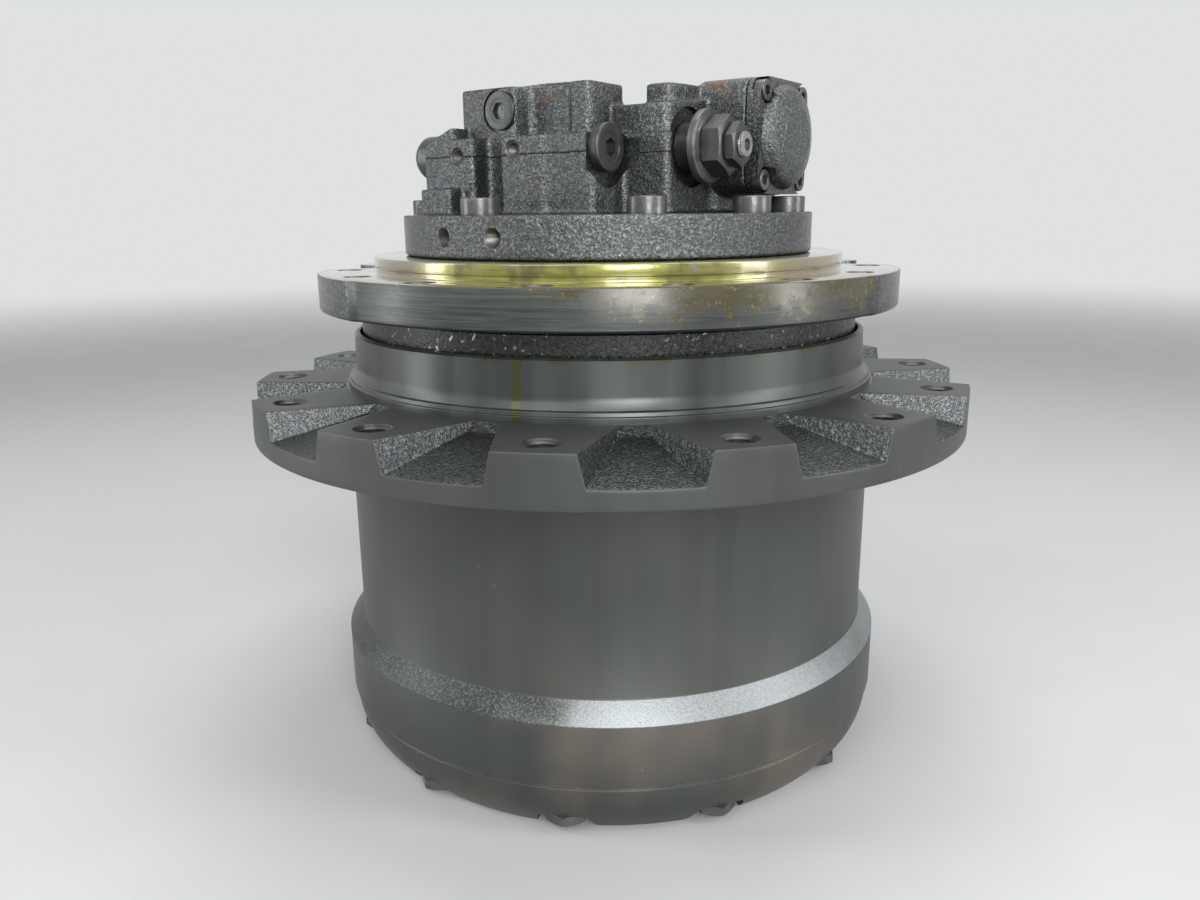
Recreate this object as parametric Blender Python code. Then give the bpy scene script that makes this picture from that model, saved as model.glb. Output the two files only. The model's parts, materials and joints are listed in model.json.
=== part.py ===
"""Excavator final drive: a travel motor in a fixed housing, and a two-stage planetary gear
inside a turning hub that carries the track sprocket.

Metres, +Z up. Z is the output axis, and z = 0 is the outer face of the end cover, on which
the drive stands. Angles round the axis are degrees from the front (-Y) towards +X.
"""
import math

import bmesh
import bpy
from mathutils import Matrix, Vector

# Fits
FIT_GAP = 0.0003
RUNNING_GAP = 0.002
CUT_MARGIN = 0.004

# Facets round a full turn
HUB_FACETS = 40
CASING_FACETS = 36
RING_FACETS = 20
BORE_FACETS = 16
BOLT_FACETS = 10
HOLE_FACETS = 6

# End cover
COVER_HEIGHT = 0.037
COVER_RADIUS = 0.199
COVER_FOOT_RADIUS = 0.181
COVER_FOOT_INNER_RADIUS = 0.150
COVER_FLANK_POWER = 2.5
COVER_FLANK_STEPS = 3
COVER_RECESS_DEPTH = 0.009
COVER_RECESS_DRAFT = 0.005
COVER_WALL = 0.015
COVER_RIM_INNER_RADIUS = 0.140
COVER_BOLT_COUNT = 12
COVER_BOLT_CIRCLE_RADIUS = 0.182
COVER_FIRST_BOLT_ANGLE = -9.0
COVER_POCKET_RADIUS = 0.019
COVER_POCKET_DEPTH = 0.014
COVER_BOLT_FLATS = 0.024
COVER_BOLT_HEAD_HEIGHT = 0.010
COVER_BOLT_REACH = 0.020
M16_RADIUS = 0.008
M16_SHANK_FACETS = 6
THRUST_PAD_RADIUS = 0.020
OIL_PLUG_CIRCLE_RADIUS = 0.110
OIL_PLUG_RADIUS = 0.012
OIL_PLUG_HEAD_RADIUS = 0.017
OIL_PLUG_HEAD_HEIGHT = 0.005
OIL_PLUG_SOCKET_FLATS = 0.012

# Hub
HUB_RIM_RADIUS = 0.2007
HUB_RIM_HEIGHT = 0.0437
HUB_CONE_HEIGHT = 0.0116
DRUM_RADIUS = 0.190
DRUM_HEIGHT = 0.1384
DRUM_FILLET = 0.006
FLANGE_RADIUS = 0.254
FLANGE_THICKNESS = 0.031
FLANGE_CHAMFER = 0.0015
SPROCKET_HOLE_COUNT = 14
SPROCKET_HOLE_CIRCLE_RADIUS = 0.233
SPROCKET_HOLE_RADIUS = 0.0104
SPROCKET_FIRST_HOLE_ANGLE = 17.04
POCKET_COLLAR_MARGIN = 0.0025
POCKET_INNER_WIDTH = 0.017
POCKET_INNER_DEPTH = 0.0025
POCKET_RIM_WIDTH = 0.071
POCKET_RIM_DEPTH = 0.019
POCKET_DRAFT = 0.24
COLLAR_BASE_HEIGHT = 0.006
COLLAR_FLARE_HEIGHT = 0.006
COLLAR_HEIGHT = 0.036
COLLAR_STEP_HEIGHT = 0.024
COLLAR_CHAMFER = 0.0015

# Floating seal
SEAL_SEAT_RADIUS = 0.162
SEAL_RING_RADIUS = SEAL_SEAT_RADIUS - 0.011
SEAL_RING_INNER_RADIUS = SEAL_RING_RADIUS - 0.007
SEAL_LIP_RADIUS = SEAL_RING_RADIUS + 0.007
SEAL_LIP_THICKNESS = 0.0038
SEAL_RING_HEIGHT = 0.0138
SEAL_FACE_HEIGHT = 0.018
SEAL_POCKET_DEPTH = 0.012
SEAL_POCKET_INNER_RADIUS = SEAL_RING_INNER_RADIUS - 0.002
O_RING_FACETS = 5

# Collar round the seal, and the pockets that start outside it
COLLAR_INNER_RADIUS = SEAL_SEAT_RADIUS + 0.017
COLLAR_RADIUS = COLLAR_INNER_RADIUS + 0.0036
COLLAR_BASE_RADIUS = COLLAR_RADIUS + 0.0064
POCKET_INNER_RADIUS = COLLAR_BASE_RADIUS + POCKET_COLLAR_MARGIN

# Hub bearings
OUTER_RACE_RADIUS = 0.147
OUTER_RACE_WALL = 0.008
INNER_RACE_WALL = 0.011
ROLLER_SPACE = 0.021
BEARING_OUTER_RADIUS = OUTER_RACE_RADIUS + OUTER_RACE_WALL
INNER_RACE_RADIUS = OUTER_RACE_RADIUS - ROLLER_SPACE
BEARING_SEAT_RADIUS = INNER_RACE_RADIUS - INNER_RACE_WALL
BEARING_SHOULDER_RADIUS = OUTER_RACE_RADIUS - 0.001
BEARING_HEIGHT = 0.026
ROLLER_COUNT = 10
ROLLER_FACETS = 6
ROLLER_END_CLEARANCE = 0.003
CAGE_THICKNESS = 0.003
CAGE_WIDTH = 0.010
NUT_OUTER_RADIUS = BEARING_SEAT_RADIUS + 0.017
NUT_HEIGHT = 0.014
NUT_THREAD_RADIUS = BEARING_SEAT_RADIUS - 0.015

# Gears
GEAR_MODULE = 0.00625
PRESSURE_ANGLE = 20.0
ADDENDUM_SHARE = 0.8
DEDENDUM_SHARE = 1.04
GEAR_BACKLASH = 0.0008
FLANK_STEPS = 2
RING_TEETH = 48
STAGE_TWO_SUN_TEETH = 18
STAGE_TWO_PLANET_TEETH = 15
STAGE_ONE_SUN_TEETH = 12
STAGE_ONE_PLANET_TEETH = 18
PLANET_COUNT = 3
RING_GEAR_RADIUS = 0.165
STAGE_ONE_CLEARANCE = 0.0067
STAGE_ONE_WIDTH = 0.030
STAGE_TWO_WIDTH = 0.044
CARRIER_ONE_CLEARANCE = 0.004
CARRIER_ONE_THICKNESS = 0.012
CARRIER_ONE_MARGIN = 0.020
CARRIER_TWO_CLEARANCE = 0.006
CARRIER_TWO_THICKNESS = 0.014
CARRIER_TWO_MARGIN = 0.025
RING_GEAR_OVERRUN = 0.012
STAGE_ONE_PIN_RADIUS = 0.014
STAGE_TWO_PIN_RADIUS = 0.017
SUN_STEM_RADIUS = 0.012
SUN_STEM_REACH = 0.040
SUN_TWO_BORE_RADIUS = 0.017
SUN_TWO_NECK_RADIUS = 0.024

# Motor housing
SPINDLE_NOSE_RADIUS = 0.070
SPINDLE_NOSE_HEIGHT = 0.015
SPINDLE_SHOULDER_RADIUS = BEARING_SEAT_RADIUS + 0.013
SPINDLE_SHOULDER_HEIGHT = 0.0057
SPINDLE_COLLAR_RADIUS = SEAL_POCKET_INNER_RADIUS - 0.004
NECK_RADIUS = COLLAR_INNER_RADIUS - RUNNING_GAP
NECK_HEIGHT = 0.0262
MOUNT_RADIUS = NECK_RADIUS + 0.0255
MOUNT_EAR_RADIUS = MOUNT_RADIUS + 0.002
MOUNT_THICKNESS = 0.0243
MOUNT_FRONT_ANGLES = (-46.0, 52.0)
MOUNT_FACETS = 60
MOUNT_HOLE_COUNT = 15
MOUNT_HOLE_CIRCLE_RADIUS = NECK_RADIUS + 0.008
MOUNT_FIRST_HOLE_ANGLE = 12.0
MOUNT_HOLE_DEPTH = 0.018
MOUNT_HOLE_FACETS = 8
MOUNT_LOBE_RADIUS = MOUNT_EAR_RADIUS - MOUNT_HOLE_CIRCLE_RADIUS
MOUNT_LOBE_HOLES = (3, 4)
MOUNT_LOBE_STEPS = 4
MOUNT_NOTCH_RADIUS = NECK_RADIUS - 0.006
MOUNT_NOTCH_EDGE_ANGLE = 1.6
SPIGOT_RADIUS = NECK_RADIUS - 0.0108
SPIGOT_HEIGHT = 0.0105
CAVITY_RADIUS = BEARING_SEAT_RADIUS - 0.019
CAVITY_LOWER_RADIUS = CAVITY_RADIUS - 0.012
BRAKE_SEAT_HEIGHT = 0.004
CAVITY_DEPTH = 0.066
SHAFT_CLEARANCE_RADIUS = 0.024
FRONT_BEARING_RADIUS = 0.042
FRONT_BEARING_SEAT_DEPTH = 0.036
FRONT_BEARING_HEIGHT = 0.020

# Motor rotating group, swash plate and parking brake
SHAFT_RADIUS = 0.020
SHAFT_END_CLEARANCE = 0.002
CYLINDER_RADIUS = 0.058
CYLINDER_HEIGHT = 0.050
PISTON_COUNT = 9
PISTON_RADIUS = 0.009
PISTON_CIRCLE_RADIUS = 0.040
PISTON_PROTRUSION = 0.010
VALVE_PLATE_THICKNESS = 0.0084
VALVE_PLATE_RADIUS = 0.056
SWASH_RADIUS = 0.056
SWASH_THICKNESS = 0.014
SWASH_ANGLE = 15.0
SWASH_PIVOT_HEIGHT = 0.031
SWASH_BORE_RADIUS = 0.027
JOURNAL_RADIUS = 0.024
JOURNAL_INNER_X = 0.031
JOURNAL_OUTER_X = 0.054
SADDLE_HALF_WIDTH = 0.016
SADDLE_HEIGHT = 0.0094
SHOE_PLATE_RADIUS = 0.051
SHOE_PLATE_THICKNESS = 0.004
SHOE_PLATE_BORE_RADIUS = 0.029
SHOE_RADIUS = 0.008
SHOE_HEIGHT = 0.0115
BRAKE_DISC_RADIUS = CAVITY_RADIUS - 0.004
BRAKE_DISC_THICKNESS = 0.0055
BRAKE_PISTON_INNER_RADIUS = 0.062
BRAKE_PISTON_HEIGHT = 0.028
REAR_BEARING_RADIUS = 0.028
REAR_BEARING_HEIGHT = 0.018

# Valve block, in its own axes: u along the spools, v square to them, turned about Z
BLOCK_TURN_ANGLE = -35.0
BLOCK_FLANGE_RADIUS = 0.1444
BLOCK_FLANGE_THICKNESS = 0.0267
LOWER_TIER_LEVELS = (-0.004, 0.047)
UPPER_TIER_LEVELS = (0.040, 0.080)
CROWN_LEVELS = (0.060, 0.0895)
MAIN_TIER_LEVELS = (0.038, 0.068)
RIGHT_TIER_LEVELS = (0.050, 0.080)
LOWER_TIER_OUTLINE = (
    (-0.078, -0.102), (-0.074, -0.105), (-0.038, -0.105), (-0.034, -0.102), (-0.032, -0.088),
    (-0.016, -0.088), (-0.014, -0.098), (-0.011, -0.100), (0.017, -0.100), (0.021, -0.097),
    (0.055, -0.097), (0.057, -0.095), (0.057, -0.064), (0.090, -0.064), (0.090, -0.012),
    (0.095, -0.012), (0.095, 0.080), (-0.062, 0.080), (-0.078, 0.062),
)
UPPER_TIER_OUTLINE = (
    (-0.058, -0.084), (-0.054, -0.088), (-0.004, -0.088), (0.002, -0.083), (0.041, -0.083),
    (0.045, -0.079), (0.045, -0.006), (-0.058, -0.006),
)
CROWN_OUTLINE = (
    (-0.054, -0.078), (-0.050, -0.082), (-0.014, -0.082), (-0.008, -0.076), (-0.008, -0.014),
    (-0.054, -0.014),
)
MAIN_TIER_OUTLINE = (
    (-0.058, -0.020), (0.086, -0.060), (0.086, 0.074), (-0.056, 0.074),
)
RIGHT_TIER_OUTLINE = (
    (0.062, -0.052), (0.082, -0.052), (0.082, 0.050), (0.056, 0.050),
)
RIM_PORT_RADIUS = 0.005
RIM_PORT_DEPTH = 0.020
RIM_PORT_ANGLES = (-45.0, -28.5)
FACE_PORT_RADIUS = 0.0055
FACE_PORT_DEPTH = 0.012
FACE_PORTS = ((-0.046, -0.105, 0.037), (-0.003, -0.100, 0.040))
BLOCK_BOLT_RADIUS = 0.012
BLOCK_BOLT_HEAD_HEIGHT = 0.016
BLOCK_BOLT_SOCKET_FLATS = 0.014
BLOCK_BOLT_REACH = 0.024
BLOCK_BOLT_CIRCLE_RADIUS = 0.128
BLOCK_BOLT_ANGLES = (-90.0, -38.0, 10.5, 45.0, 72.0, 120.0, 170.0, -135.0)
SPOTFACE_RADIUS = 0.015
SPOTFACE_DEPTH = 0.006
SPOOL_V = 0.022
SPOOL_HEIGHT = 0.047
SPOOL_RADIUS = 0.014
SPOOL_LENGTH = 0.140
SPOOL_TRAVEL = 0.006
SPOOL_GROOVE_DEPTH = 0.004
SPOOL_GROOVE_WIDTH = 0.014
SPOOL_LAND_WIDTH = 0.042
RIGHT_FACE_U = 0.116
RIGHT_HOUSING_HALF_WIDTH = 0.036
RIGHT_HOUSING_DEPTH = 0.036
RIGHT_HOUSING_CORNER_SHARE = 0.6
RIGHT_CAP_RADIUS = 0.036
RIGHT_CAP_THICKNESS = 0.010
RIGHT_CAP_DOME_RADIUS = 0.022
RIGHT_CAP_DOME_TOP_RADIUS = 0.0154
RIGHT_CAP_DOME_HEIGHT = 0.005
CAP_SCREW_SPACING = 0.054
CAP_SCREW_RADIUS = 0.0065
CAP_SCREW_HEAD_HEIGHT = 0.007
CAP_SCREW_SHANK_RADIUS = 0.004
CAP_SCREW_REACH = 0.012
LEFT_CAP_V = -0.078
LEFT_CAP_HEIGHT = 0.038
LEFT_CAP_RADIUS = 0.016
LEFT_CAP_LENGTH = 0.030
LEFT_CAP_SIDE_LENGTH = 0.021
LEFT_CAP_CROWN_RADIUS = 0.012
LEFT_CAP_CROWN_LENGTH = 0.0276
LEFT_FACE_U = -0.078
FRONT_FACE_U = 0.057
FRONT_PLUG_V = -0.082
FRONT_PLUG_HEIGHT = 0.0395
FRONT_PLUG_RADIUS = 0.0164
RELIEF_FACE_U = 0.090
RELIEF_V = -0.040
RELIEF_HEIGHT = 0.040
RELIEF_WASHER_RADIUS = 0.023
RELIEF_WASHER_THICKNESS = 0.005
RELIEF_HEX_FLATS = 0.032
RELIEF_HEX_LENGTH = 0.016
RELIEF_NUT_FLATS = 0.021
RELIEF_NUT_LENGTH = 0.008
RELIEF_STEM_RADIUS = 0.006
RELIEF_STEM_LENGTH = 0.016
RELIEF_STEM_SOCKET_FLATS = 0.005
UPPER_FACE_V = -0.088
UPPER_PLUG_U = -0.023
UPPER_PLUG_HEIGHT = 0.065
UPPER_PLUG_RADIUS = 0.0138
PLUG_SHANK_RADIUS = 0.010
PLUG_SHANK_LENGTH = 0.018
PLUG_PROUD = 0.003
PLUG_SOCKET_FLATS = 0.010
SOCKET_DEPTH = 0.006
BACK_FACE_V = 0.080
BACK_PORTS = ((-0.035, 0.0125), (0.010, 0.0125), (0.050, 0.008), (0.078, 0.008))
BACK_PORT_DEPTH = 0.015
BACK_PORT_HEIGHT = 0.026

# Levels that follow from the sizes above
HUB_BOTTOM = COVER_HEIGHT + FIT_GAP
HUB_RIM_TOP = HUB_BOTTOM + HUB_RIM_HEIGHT
DRUM_BOTTOM = HUB_RIM_TOP + HUB_CONE_HEIGHT
FLANGE_BOTTOM = DRUM_BOTTOM + DRUM_HEIGHT
FLANGE_TOP = FLANGE_BOTTOM + FLANGE_THICKNESS
HUB_TOP = FLANGE_TOP + COLLAR_HEIGHT
COLLAR_STEP = FLANGE_TOP + COLLAR_STEP_HEIGHT
SEAL_FACE = FLANGE_TOP + SEAL_FACE_HEIGHT
HOUSING_UNDERSIDE = COLLAR_STEP + RUNNING_GAP
MOUNT_BOTTOM = HOUSING_UNDERSIDE + NECK_HEIGHT
MOUNT_TOP = MOUNT_BOTTOM + MOUNT_THICKNESS
SPIGOT_TOP = MOUNT_TOP + SPIGOT_HEIGHT
BLOCK_BOTTOM = SPIGOT_TOP + FIT_GAP
BLOCK_BASE = BLOCK_BOTTOM + BLOCK_FLANGE_THICKNESS

STAGE_ONE_BOTTOM = HUB_BOTTOM + STAGE_ONE_CLEARANCE
STAGE_ONE_TOP = STAGE_ONE_BOTTOM + STAGE_ONE_WIDTH
CARRIER_ONE_BOTTOM = STAGE_ONE_TOP + CARRIER_ONE_CLEARANCE
CARRIER_ONE_TOP = CARRIER_ONE_BOTTOM + CARRIER_ONE_THICKNESS
STAGE_TWO_BOTTOM = CARRIER_ONE_TOP + CARRIER_TWO_CLEARANCE
STAGE_TWO_TOP = STAGE_TWO_BOTTOM + STAGE_TWO_WIDTH
CARRIER_TWO_BOTTOM = STAGE_TWO_TOP + CARRIER_TWO_CLEARANCE
CARRIER_TWO_TOP = CARRIER_TWO_BOTTOM + CARRIER_TWO_THICKNESS
RING_GEAR_TOP = STAGE_TWO_TOP + RING_GEAR_OVERRUN
SPINDLE_BOTTOM = CARRIER_TWO_BOTTOM + RUNNING_GAP
NUT_BOTTOM = CARRIER_TWO_TOP + CARRIER_ONE_CLEARANCE
NUT_TOP = NUT_BOTTOM + NUT_HEIGHT
LOWER_BEARING_BOTTOM = NUT_TOP + FIT_GAP
LOWER_BEARING_TOP = LOWER_BEARING_BOTTOM + BEARING_HEIGHT
SPINDLE_SHOULDER = FLANGE_TOP - SPINDLE_SHOULDER_HEIGHT
UPPER_BEARING_TOP = SPINDLE_SHOULDER - FIT_GAP
UPPER_BEARING_BOTTOM = UPPER_BEARING_TOP - BEARING_HEIGHT

CAVITY_FLOOR = HOUSING_UNDERSIDE - CAVITY_DEPTH
BRAKE_SEAT = HOUSING_UNDERSIDE + BRAKE_SEAT_HEIGHT
FRONT_BEARING_BOTTOM = CAVITY_FLOOR - FRONT_BEARING_SEAT_DEPTH
SWASH_PIVOT = CAVITY_FLOOR + SWASH_PIVOT_HEIGHT
VALVE_PLATE_TOP = BLOCK_BOTTOM - FIT_GAP
CYLINDER_TOP = VALVE_PLATE_TOP - VALVE_PLATE_THICKNESS - FIT_GAP
CYLINDER_BOTTOM = CYLINDER_TOP - CYLINDER_HEIGHT
SHAFT_BOTTOM = SPINDLE_BOTTOM + SHAFT_END_CLEARANCE
REAR_BEARING_BOTTOM = BLOCK_BOTTOM + CARRIER_ONE_CLEARANCE
REAR_BEARING_TOP = REAR_BEARING_BOTTOM + REAR_BEARING_HEIGHT

STAGE_ONE_REACH = GEAR_MODULE * (STAGE_ONE_SUN_TEETH + STAGE_ONE_PLANET_TEETH) / 2
STAGE_TWO_REACH = GEAR_MODULE * (STAGE_TWO_SUN_TEETH + STAGE_TWO_PLANET_TEETH) / 2
BLOCK_AXES = Matrix.Rotation(math.radians(BLOCK_TURN_ANGLE), 4, "Z")

# Finishes: colour, roughness, metallic
FINISHES = {
    "coated_casting": ((0.070, 0.076, 0.074), 0.42, 0.45),
    "bare_steel": ((0.46, 0.46, 0.45), 0.32, 1.0),
    "gear_steel": ((0.38, 0.39, 0.40), 0.30, 1.0),
    "black_steel": ((0.055, 0.058, 0.060), 0.38, 0.7),
    "plated_steel": ((0.30, 0.30, 0.29), 0.30, 0.9),
    "bronze": ((0.50, 0.34, 0.16), 0.35, 1.0),
    "rubber": ((0.015, 0.015, 0.015), 0.75, 0.0),
}


def facing(angle):
    """Turn the local X axis to an angle from the front, round Z."""
    return Matrix.Rotation(math.radians(angle - 90), 4, "Z")


def at_radius(angle, radius):
    """Place a local Z axis at a radius and an angle from the front."""
    return facing(angle) @ Matrix.Translation((radius, 0, 0))


def block_axis(u, v, height, direction):
    """Place a local Z axis in the valve block, along one of its horizontal directions."""
    turns = {"+u": (90, "Y"), "-u": (-90, "Y"), "-v": (90, "X"), "+v": (-90, "X")}
    degrees, axis = turns[direction]
    point = Matrix.Translation((u, v, BLOCK_BASE + height))
    return BLOCK_AXES @ point @ Matrix.Rotation(math.radians(degrees), 4, axis)


def bore(radius, facets):
    """Corner radius of a faceted hole whose flats lie on the given radius."""
    return radius / math.cos(math.pi / facets)


def seat_bore(radius, facets):
    """Corner radius of a faceted hole that follows the facets of the bar fixed in it."""
    return radius + FIT_GAP / math.cos(math.pi / facets)


def circle(radius, facets, centre=(0, 0)):
    """Outline points of a circle."""
    points = []
    for step in range(facets):
        angle = 2 * math.pi * step / facets
        points.append((centre[0] + radius * math.cos(angle), centre[1] + radius * math.sin(angle)))
    return points


def hexagon(flats):
    """Outline points of a hexagon of the given width across flats."""
    return circle(bore(flats / 2, 6), 6)


def add_turned(bm, profile, facets, place=Matrix.Identity(4)):
    """Add a body turned about Z from (radius, height) points, closed from last to first."""
    rings = []
    for index, (radius, height) in enumerate(profile):
        flat_end = radius == 0 and height == profile[1 if index == 0 else index - 1][1]
        count = 0 if flat_end else facets if radius > 0 else 1
        ring = []
        for step in range(count):
            angle = 2 * math.pi * step / facets
            point = Vector((radius * math.cos(angle), radius * math.sin(angle), height))
            ring.append(bm.verts.new(place @ point))
        rings.append(ring)
    for low, high in zip(rings, rings[1:] + rings[:1]):
        if max(len(low), len(high)) < 3:
            continue
        if not low or not high:
            bm.faces.new(low or high)
            continue
        for step in range(facets):
            after = (step + 1) % facets
            corners = [low[step % len(low)], low[after % len(low)]]
            corners += [high[after % len(high)], high[step % len(high)]]
            bm.faces.new(list(dict.fromkeys(corners)))


def add_prism(bm, outline, low, high, place=Matrix.Identity(4), holes=()):
    """Add an outline raised from one height to another, with any holes right through."""
    ends = []
    for height in (low, high):
        loops = []
        edges = []
        for loop in (outline, *holes):
            ring = [bm.verts.new(place @ Vector((x, y, height))) for x, y in loop]
            if holes:
                edges += [bm.edges.new(pair) for pair in zip(ring, ring[1:] + ring[:1])]
            loops.append(ring)
        if holes:
            bmesh.ops.triangle_fill(bm, use_beauty=True, edges=edges)
        else:
            bm.faces.new(loops[0])
        ends.append(loops)
    for lower, upper in zip(*ends):
        for step in range(len(lower)):
            after = (step + 1) % len(lower)
            bm.faces.new((lower[step], lower[after], upper[after], upper[step]))


def add_cylinder(bm, radius, low, high, facets, place=Matrix.Identity(4)):
    """Add a plain round bar along the local Z axis."""
    add_prism(bm, circle(radius, facets), low, high, place)


def add_step_hole(bm, radius, low, seat, head_radius, high, facets, place):
    """Add the cutter of a screw hole with a wider seat for the head."""
    profile = [(0, low), (radius, low), (radius, seat), (head_radius, seat), (head_radius, high)]
    add_turned(bm, profile + [(0, high)], facets, place)


def add_loft(bm, sections, place=Matrix.Identity(4)):
    """Add a body through cross-sections with equal numbers of points."""
    loops = [[bm.verts.new(place @ Vector(point)) for point in section] for section in sections]
    bm.faces.new(loops[0])
    bm.faces.new(loops[-1])
    for low, high in zip(loops, loops[1:]):
        for step in range(len(low)):
            after = (step + 1) % len(low)
            bm.faces.new((low[step], low[after], high[after]))
            bm.faces.new((low[step], high[after], high[step]))


def make_object(name, bm, place=Matrix.Identity(4)):
    """Turn a bmesh into an object with outward faces and smooth round surfaces."""
    bmesh.ops.recalc_face_normals(bm, faces=bm.faces)
    mesh = bpy.data.meshes.new(name)
    bm.to_mesh(mesh)
    bm.free()
    mesh.shade_smooth()
    mesh.set_sharp_from_angle(angle=math.radians(30))
    piece = bpy.data.objects.new(name, mesh)
    piece.matrix_world = place
    bpy.context.collection.objects.link(piece)
    return piece


def finish(piece, kind):
    """Give a piece its own material of the named finish."""
    colour, roughness, metallic = FINISHES[kind]
    material = bpy.data.materials.new(f"{piece.name}_{kind}")
    material.use_nodes = True
    shader = material.node_tree.nodes["Principled BSDF"]
    shader.inputs["Base Color"].default_value = (*colour, 1.0)
    shader.inputs["Roughness"].default_value = roughness
    shader.inputs["Metallic"].default_value = metallic
    piece.data.materials.append(material)
    return piece


def combine(piece, bm, operation):
    """Cut the bodies in a bmesh from a piece, or add them to it, by an exact Boolean."""
    tool = make_object(f"{piece.name}_tool_{len(piece.modifiers) + 1}", bm)
    tool.hide_render = True
    tool.display_type = "WIRE"
    change = piece.modifiers.new(operation.title(), "BOOLEAN")
    change.operation = operation
    change.solver = "EXACT"
    change.object = tool


def cut(piece, bm):
    """Take the bodies in a bmesh away from a piece."""
    combine(piece, bm, "DIFFERENCE")


def add(piece, bm):
    """Join the bodies in a bmesh to a piece."""
    combine(piece, bm, "UNION")


def turned_piece(name, profile, facets, kind, place=Matrix.Identity(4)):
    """Make a turned piece with its finish."""
    bm = bmesh.new()
    add_turned(bm, profile, facets)
    return finish(make_object(name, bm, place), kind)


def ring_piece(name, inner, outer, low, high, kind, facets=RING_FACETS):
    """Make a plain ring about the Z axis."""
    hole = bore(inner, facets)
    profile = [(hole, low), (outer, low), (outer, high), (hole, high)]
    return turned_piece(name, profile, facets, kind)


def involute(angle):
    """Involute function of an angle in radians."""
    return math.tan(angle) - angle


def gear_outline(teeth, phase, internal=False, steps=FLANK_STEPS):
    """Outline of a spur gear, with a tooth centred on the phase angle in radians."""
    pitch = GEAR_MODULE * teeth / 2
    pressure = math.radians(PRESSURE_ANGLE)
    base = pitch * math.cos(pressure)
    side = -1 if internal else 1
    tip = pitch + side * ADDENDUM_SHARE * GEAR_MODULE
    root = pitch - side * DEDENDUM_SHARE * GEAR_MODULE
    half_pitch = math.pi / (2 * teeth) - GEAR_BACKLASH / (4 * pitch)
    flank = []
    for step in range(steps):
        radius = root + (tip - root) * step / (steps - 1)
        roll = math.acos(min(1.0, base / radius))
        flank.append((radius, half_pitch + side * (involute(pressure) - involute(roll))))
    points = []
    for tooth in range(teeth):
        centre = phase + 2 * math.pi * tooth / teeth
        sides = [(radius, -half) for radius, half in flank]
        sides += [(radius, half) for radius, half in reversed(flank)]
        for radius, offset in sides:
            points.append((radius * math.cos(centre + offset), radius * math.sin(centre + offset)))
    return points


def planet_phase(angle, planet_teeth):
    """Phase of a planet at an angle round the axis, in mesh with a ring tooth on +X."""
    ring_place = angle * RING_TEETH / (2 * math.pi)
    return angle - (2 * math.pi / planet_teeth) * (ring_place + 0.5)


def sun_phase(angle, planet_teeth, sun_teeth):
    """Phase of a sun in mesh with the planet at that angle."""
    planet_place = (angle + math.pi - planet_phase(angle, planet_teeth)) * planet_teeth / (2 * math.pi)
    return angle - (2 * math.pi / sun_teeth) * (0.5 - planet_place)


def planet_angles():
    """Angles of the planets in radians."""
    return [math.pi / 2 + 2 * math.pi * step / PLANET_COUNT for step in range(PLANET_COUNT)]


def gear_piece(name, teeth, phase, low, high, hole_radius, place=Matrix.Identity(4)):
    """Make a spur gear with a round bore."""
    bm = bmesh.new()
    hole = circle(bore(hole_radius, BOLT_FACETS), BOLT_FACETS)
    add_prism(bm, gear_outline(teeth, phase), low, high, holes=(hole,))
    return finish(make_object(name, bm, place), "gear_steel")


def end_cover():
    """Cover that closes the hub, with its bolts in pockets round the edge."""
    profile = [(0, COVER_RECESS_DEPTH)]
    profile.append((COVER_FOOT_INNER_RADIUS - COVER_RECESS_DRAFT, COVER_RECESS_DEPTH))
    profile.append((COVER_FOOT_INNER_RADIUS, 0))
    for step in range(COVER_FLANK_STEPS + 1):
        height = COVER_HEIGHT * step / COVER_FLANK_STEPS
        inset = (COVER_RADIUS - COVER_FOOT_RADIUS) * (1 - height / COVER_HEIGHT) ** COVER_FLANK_POWER
        profile.append((COVER_RADIUS - inset, height))
    inner_floor = COVER_RECESS_DEPTH + COVER_WALL
    profile.append((COVER_RIM_INNER_RADIUS, COVER_HEIGHT))
    profile.append((COVER_RIM_INNER_RADIUS - COVER_RECESS_DRAFT, inner_floor))
    profile.append((THRUST_PAD_RADIUS, inner_floor))
    profile.append((THRUST_PAD_RADIUS, STAGE_ONE_BOTTOM - FIT_GAP))
    profile.append((0, STAGE_ONE_BOTTOM - FIT_GAP))
    cover = turned_piece("end_cover", profile, CASING_FACETS, "coated_casting")

    pockets = bmesh.new()
    bolts = bmesh.new()
    for step in range(COVER_BOLT_COUNT):
        angle = COVER_FIRST_BOLT_ANGLE + 360 * step / COVER_BOLT_COUNT
        place = at_radius(angle, COVER_BOLT_CIRCLE_RADIUS)
        add_cylinder(pockets, COVER_POCKET_RADIUS, -CUT_MARGIN, COVER_POCKET_DEPTH, BOLT_FACETS, place)
        seat = COVER_POCKET_DEPTH - COVER_BOLT_HEAD_HEIGHT
        buried = COVER_POCKET_DEPTH + CUT_MARGIN
        add_prism(bolts, hexagon(COVER_BOLT_FLATS), seat, buried, place)
        shank_end = HUB_BOTTOM + COVER_BOLT_REACH
        shank_start = COVER_HEIGHT - CUT_MARGIN
        add_cylinder(bolts, M16_RADIUS, shank_start, shank_end, M16_SHANK_FACETS, place)
    for angle in (0, 180):
        place = at_radius(angle, OIL_PLUG_CIRCLE_RADIUS)
        radius = bore(OIL_PLUG_RADIUS + FIT_GAP, BOLT_FACETS)
        add_cylinder(pockets, radius, 0, COVER_HEIGHT, BOLT_FACETS, place)
    cut(cover, pockets)
    add(cover, bolts)


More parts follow.
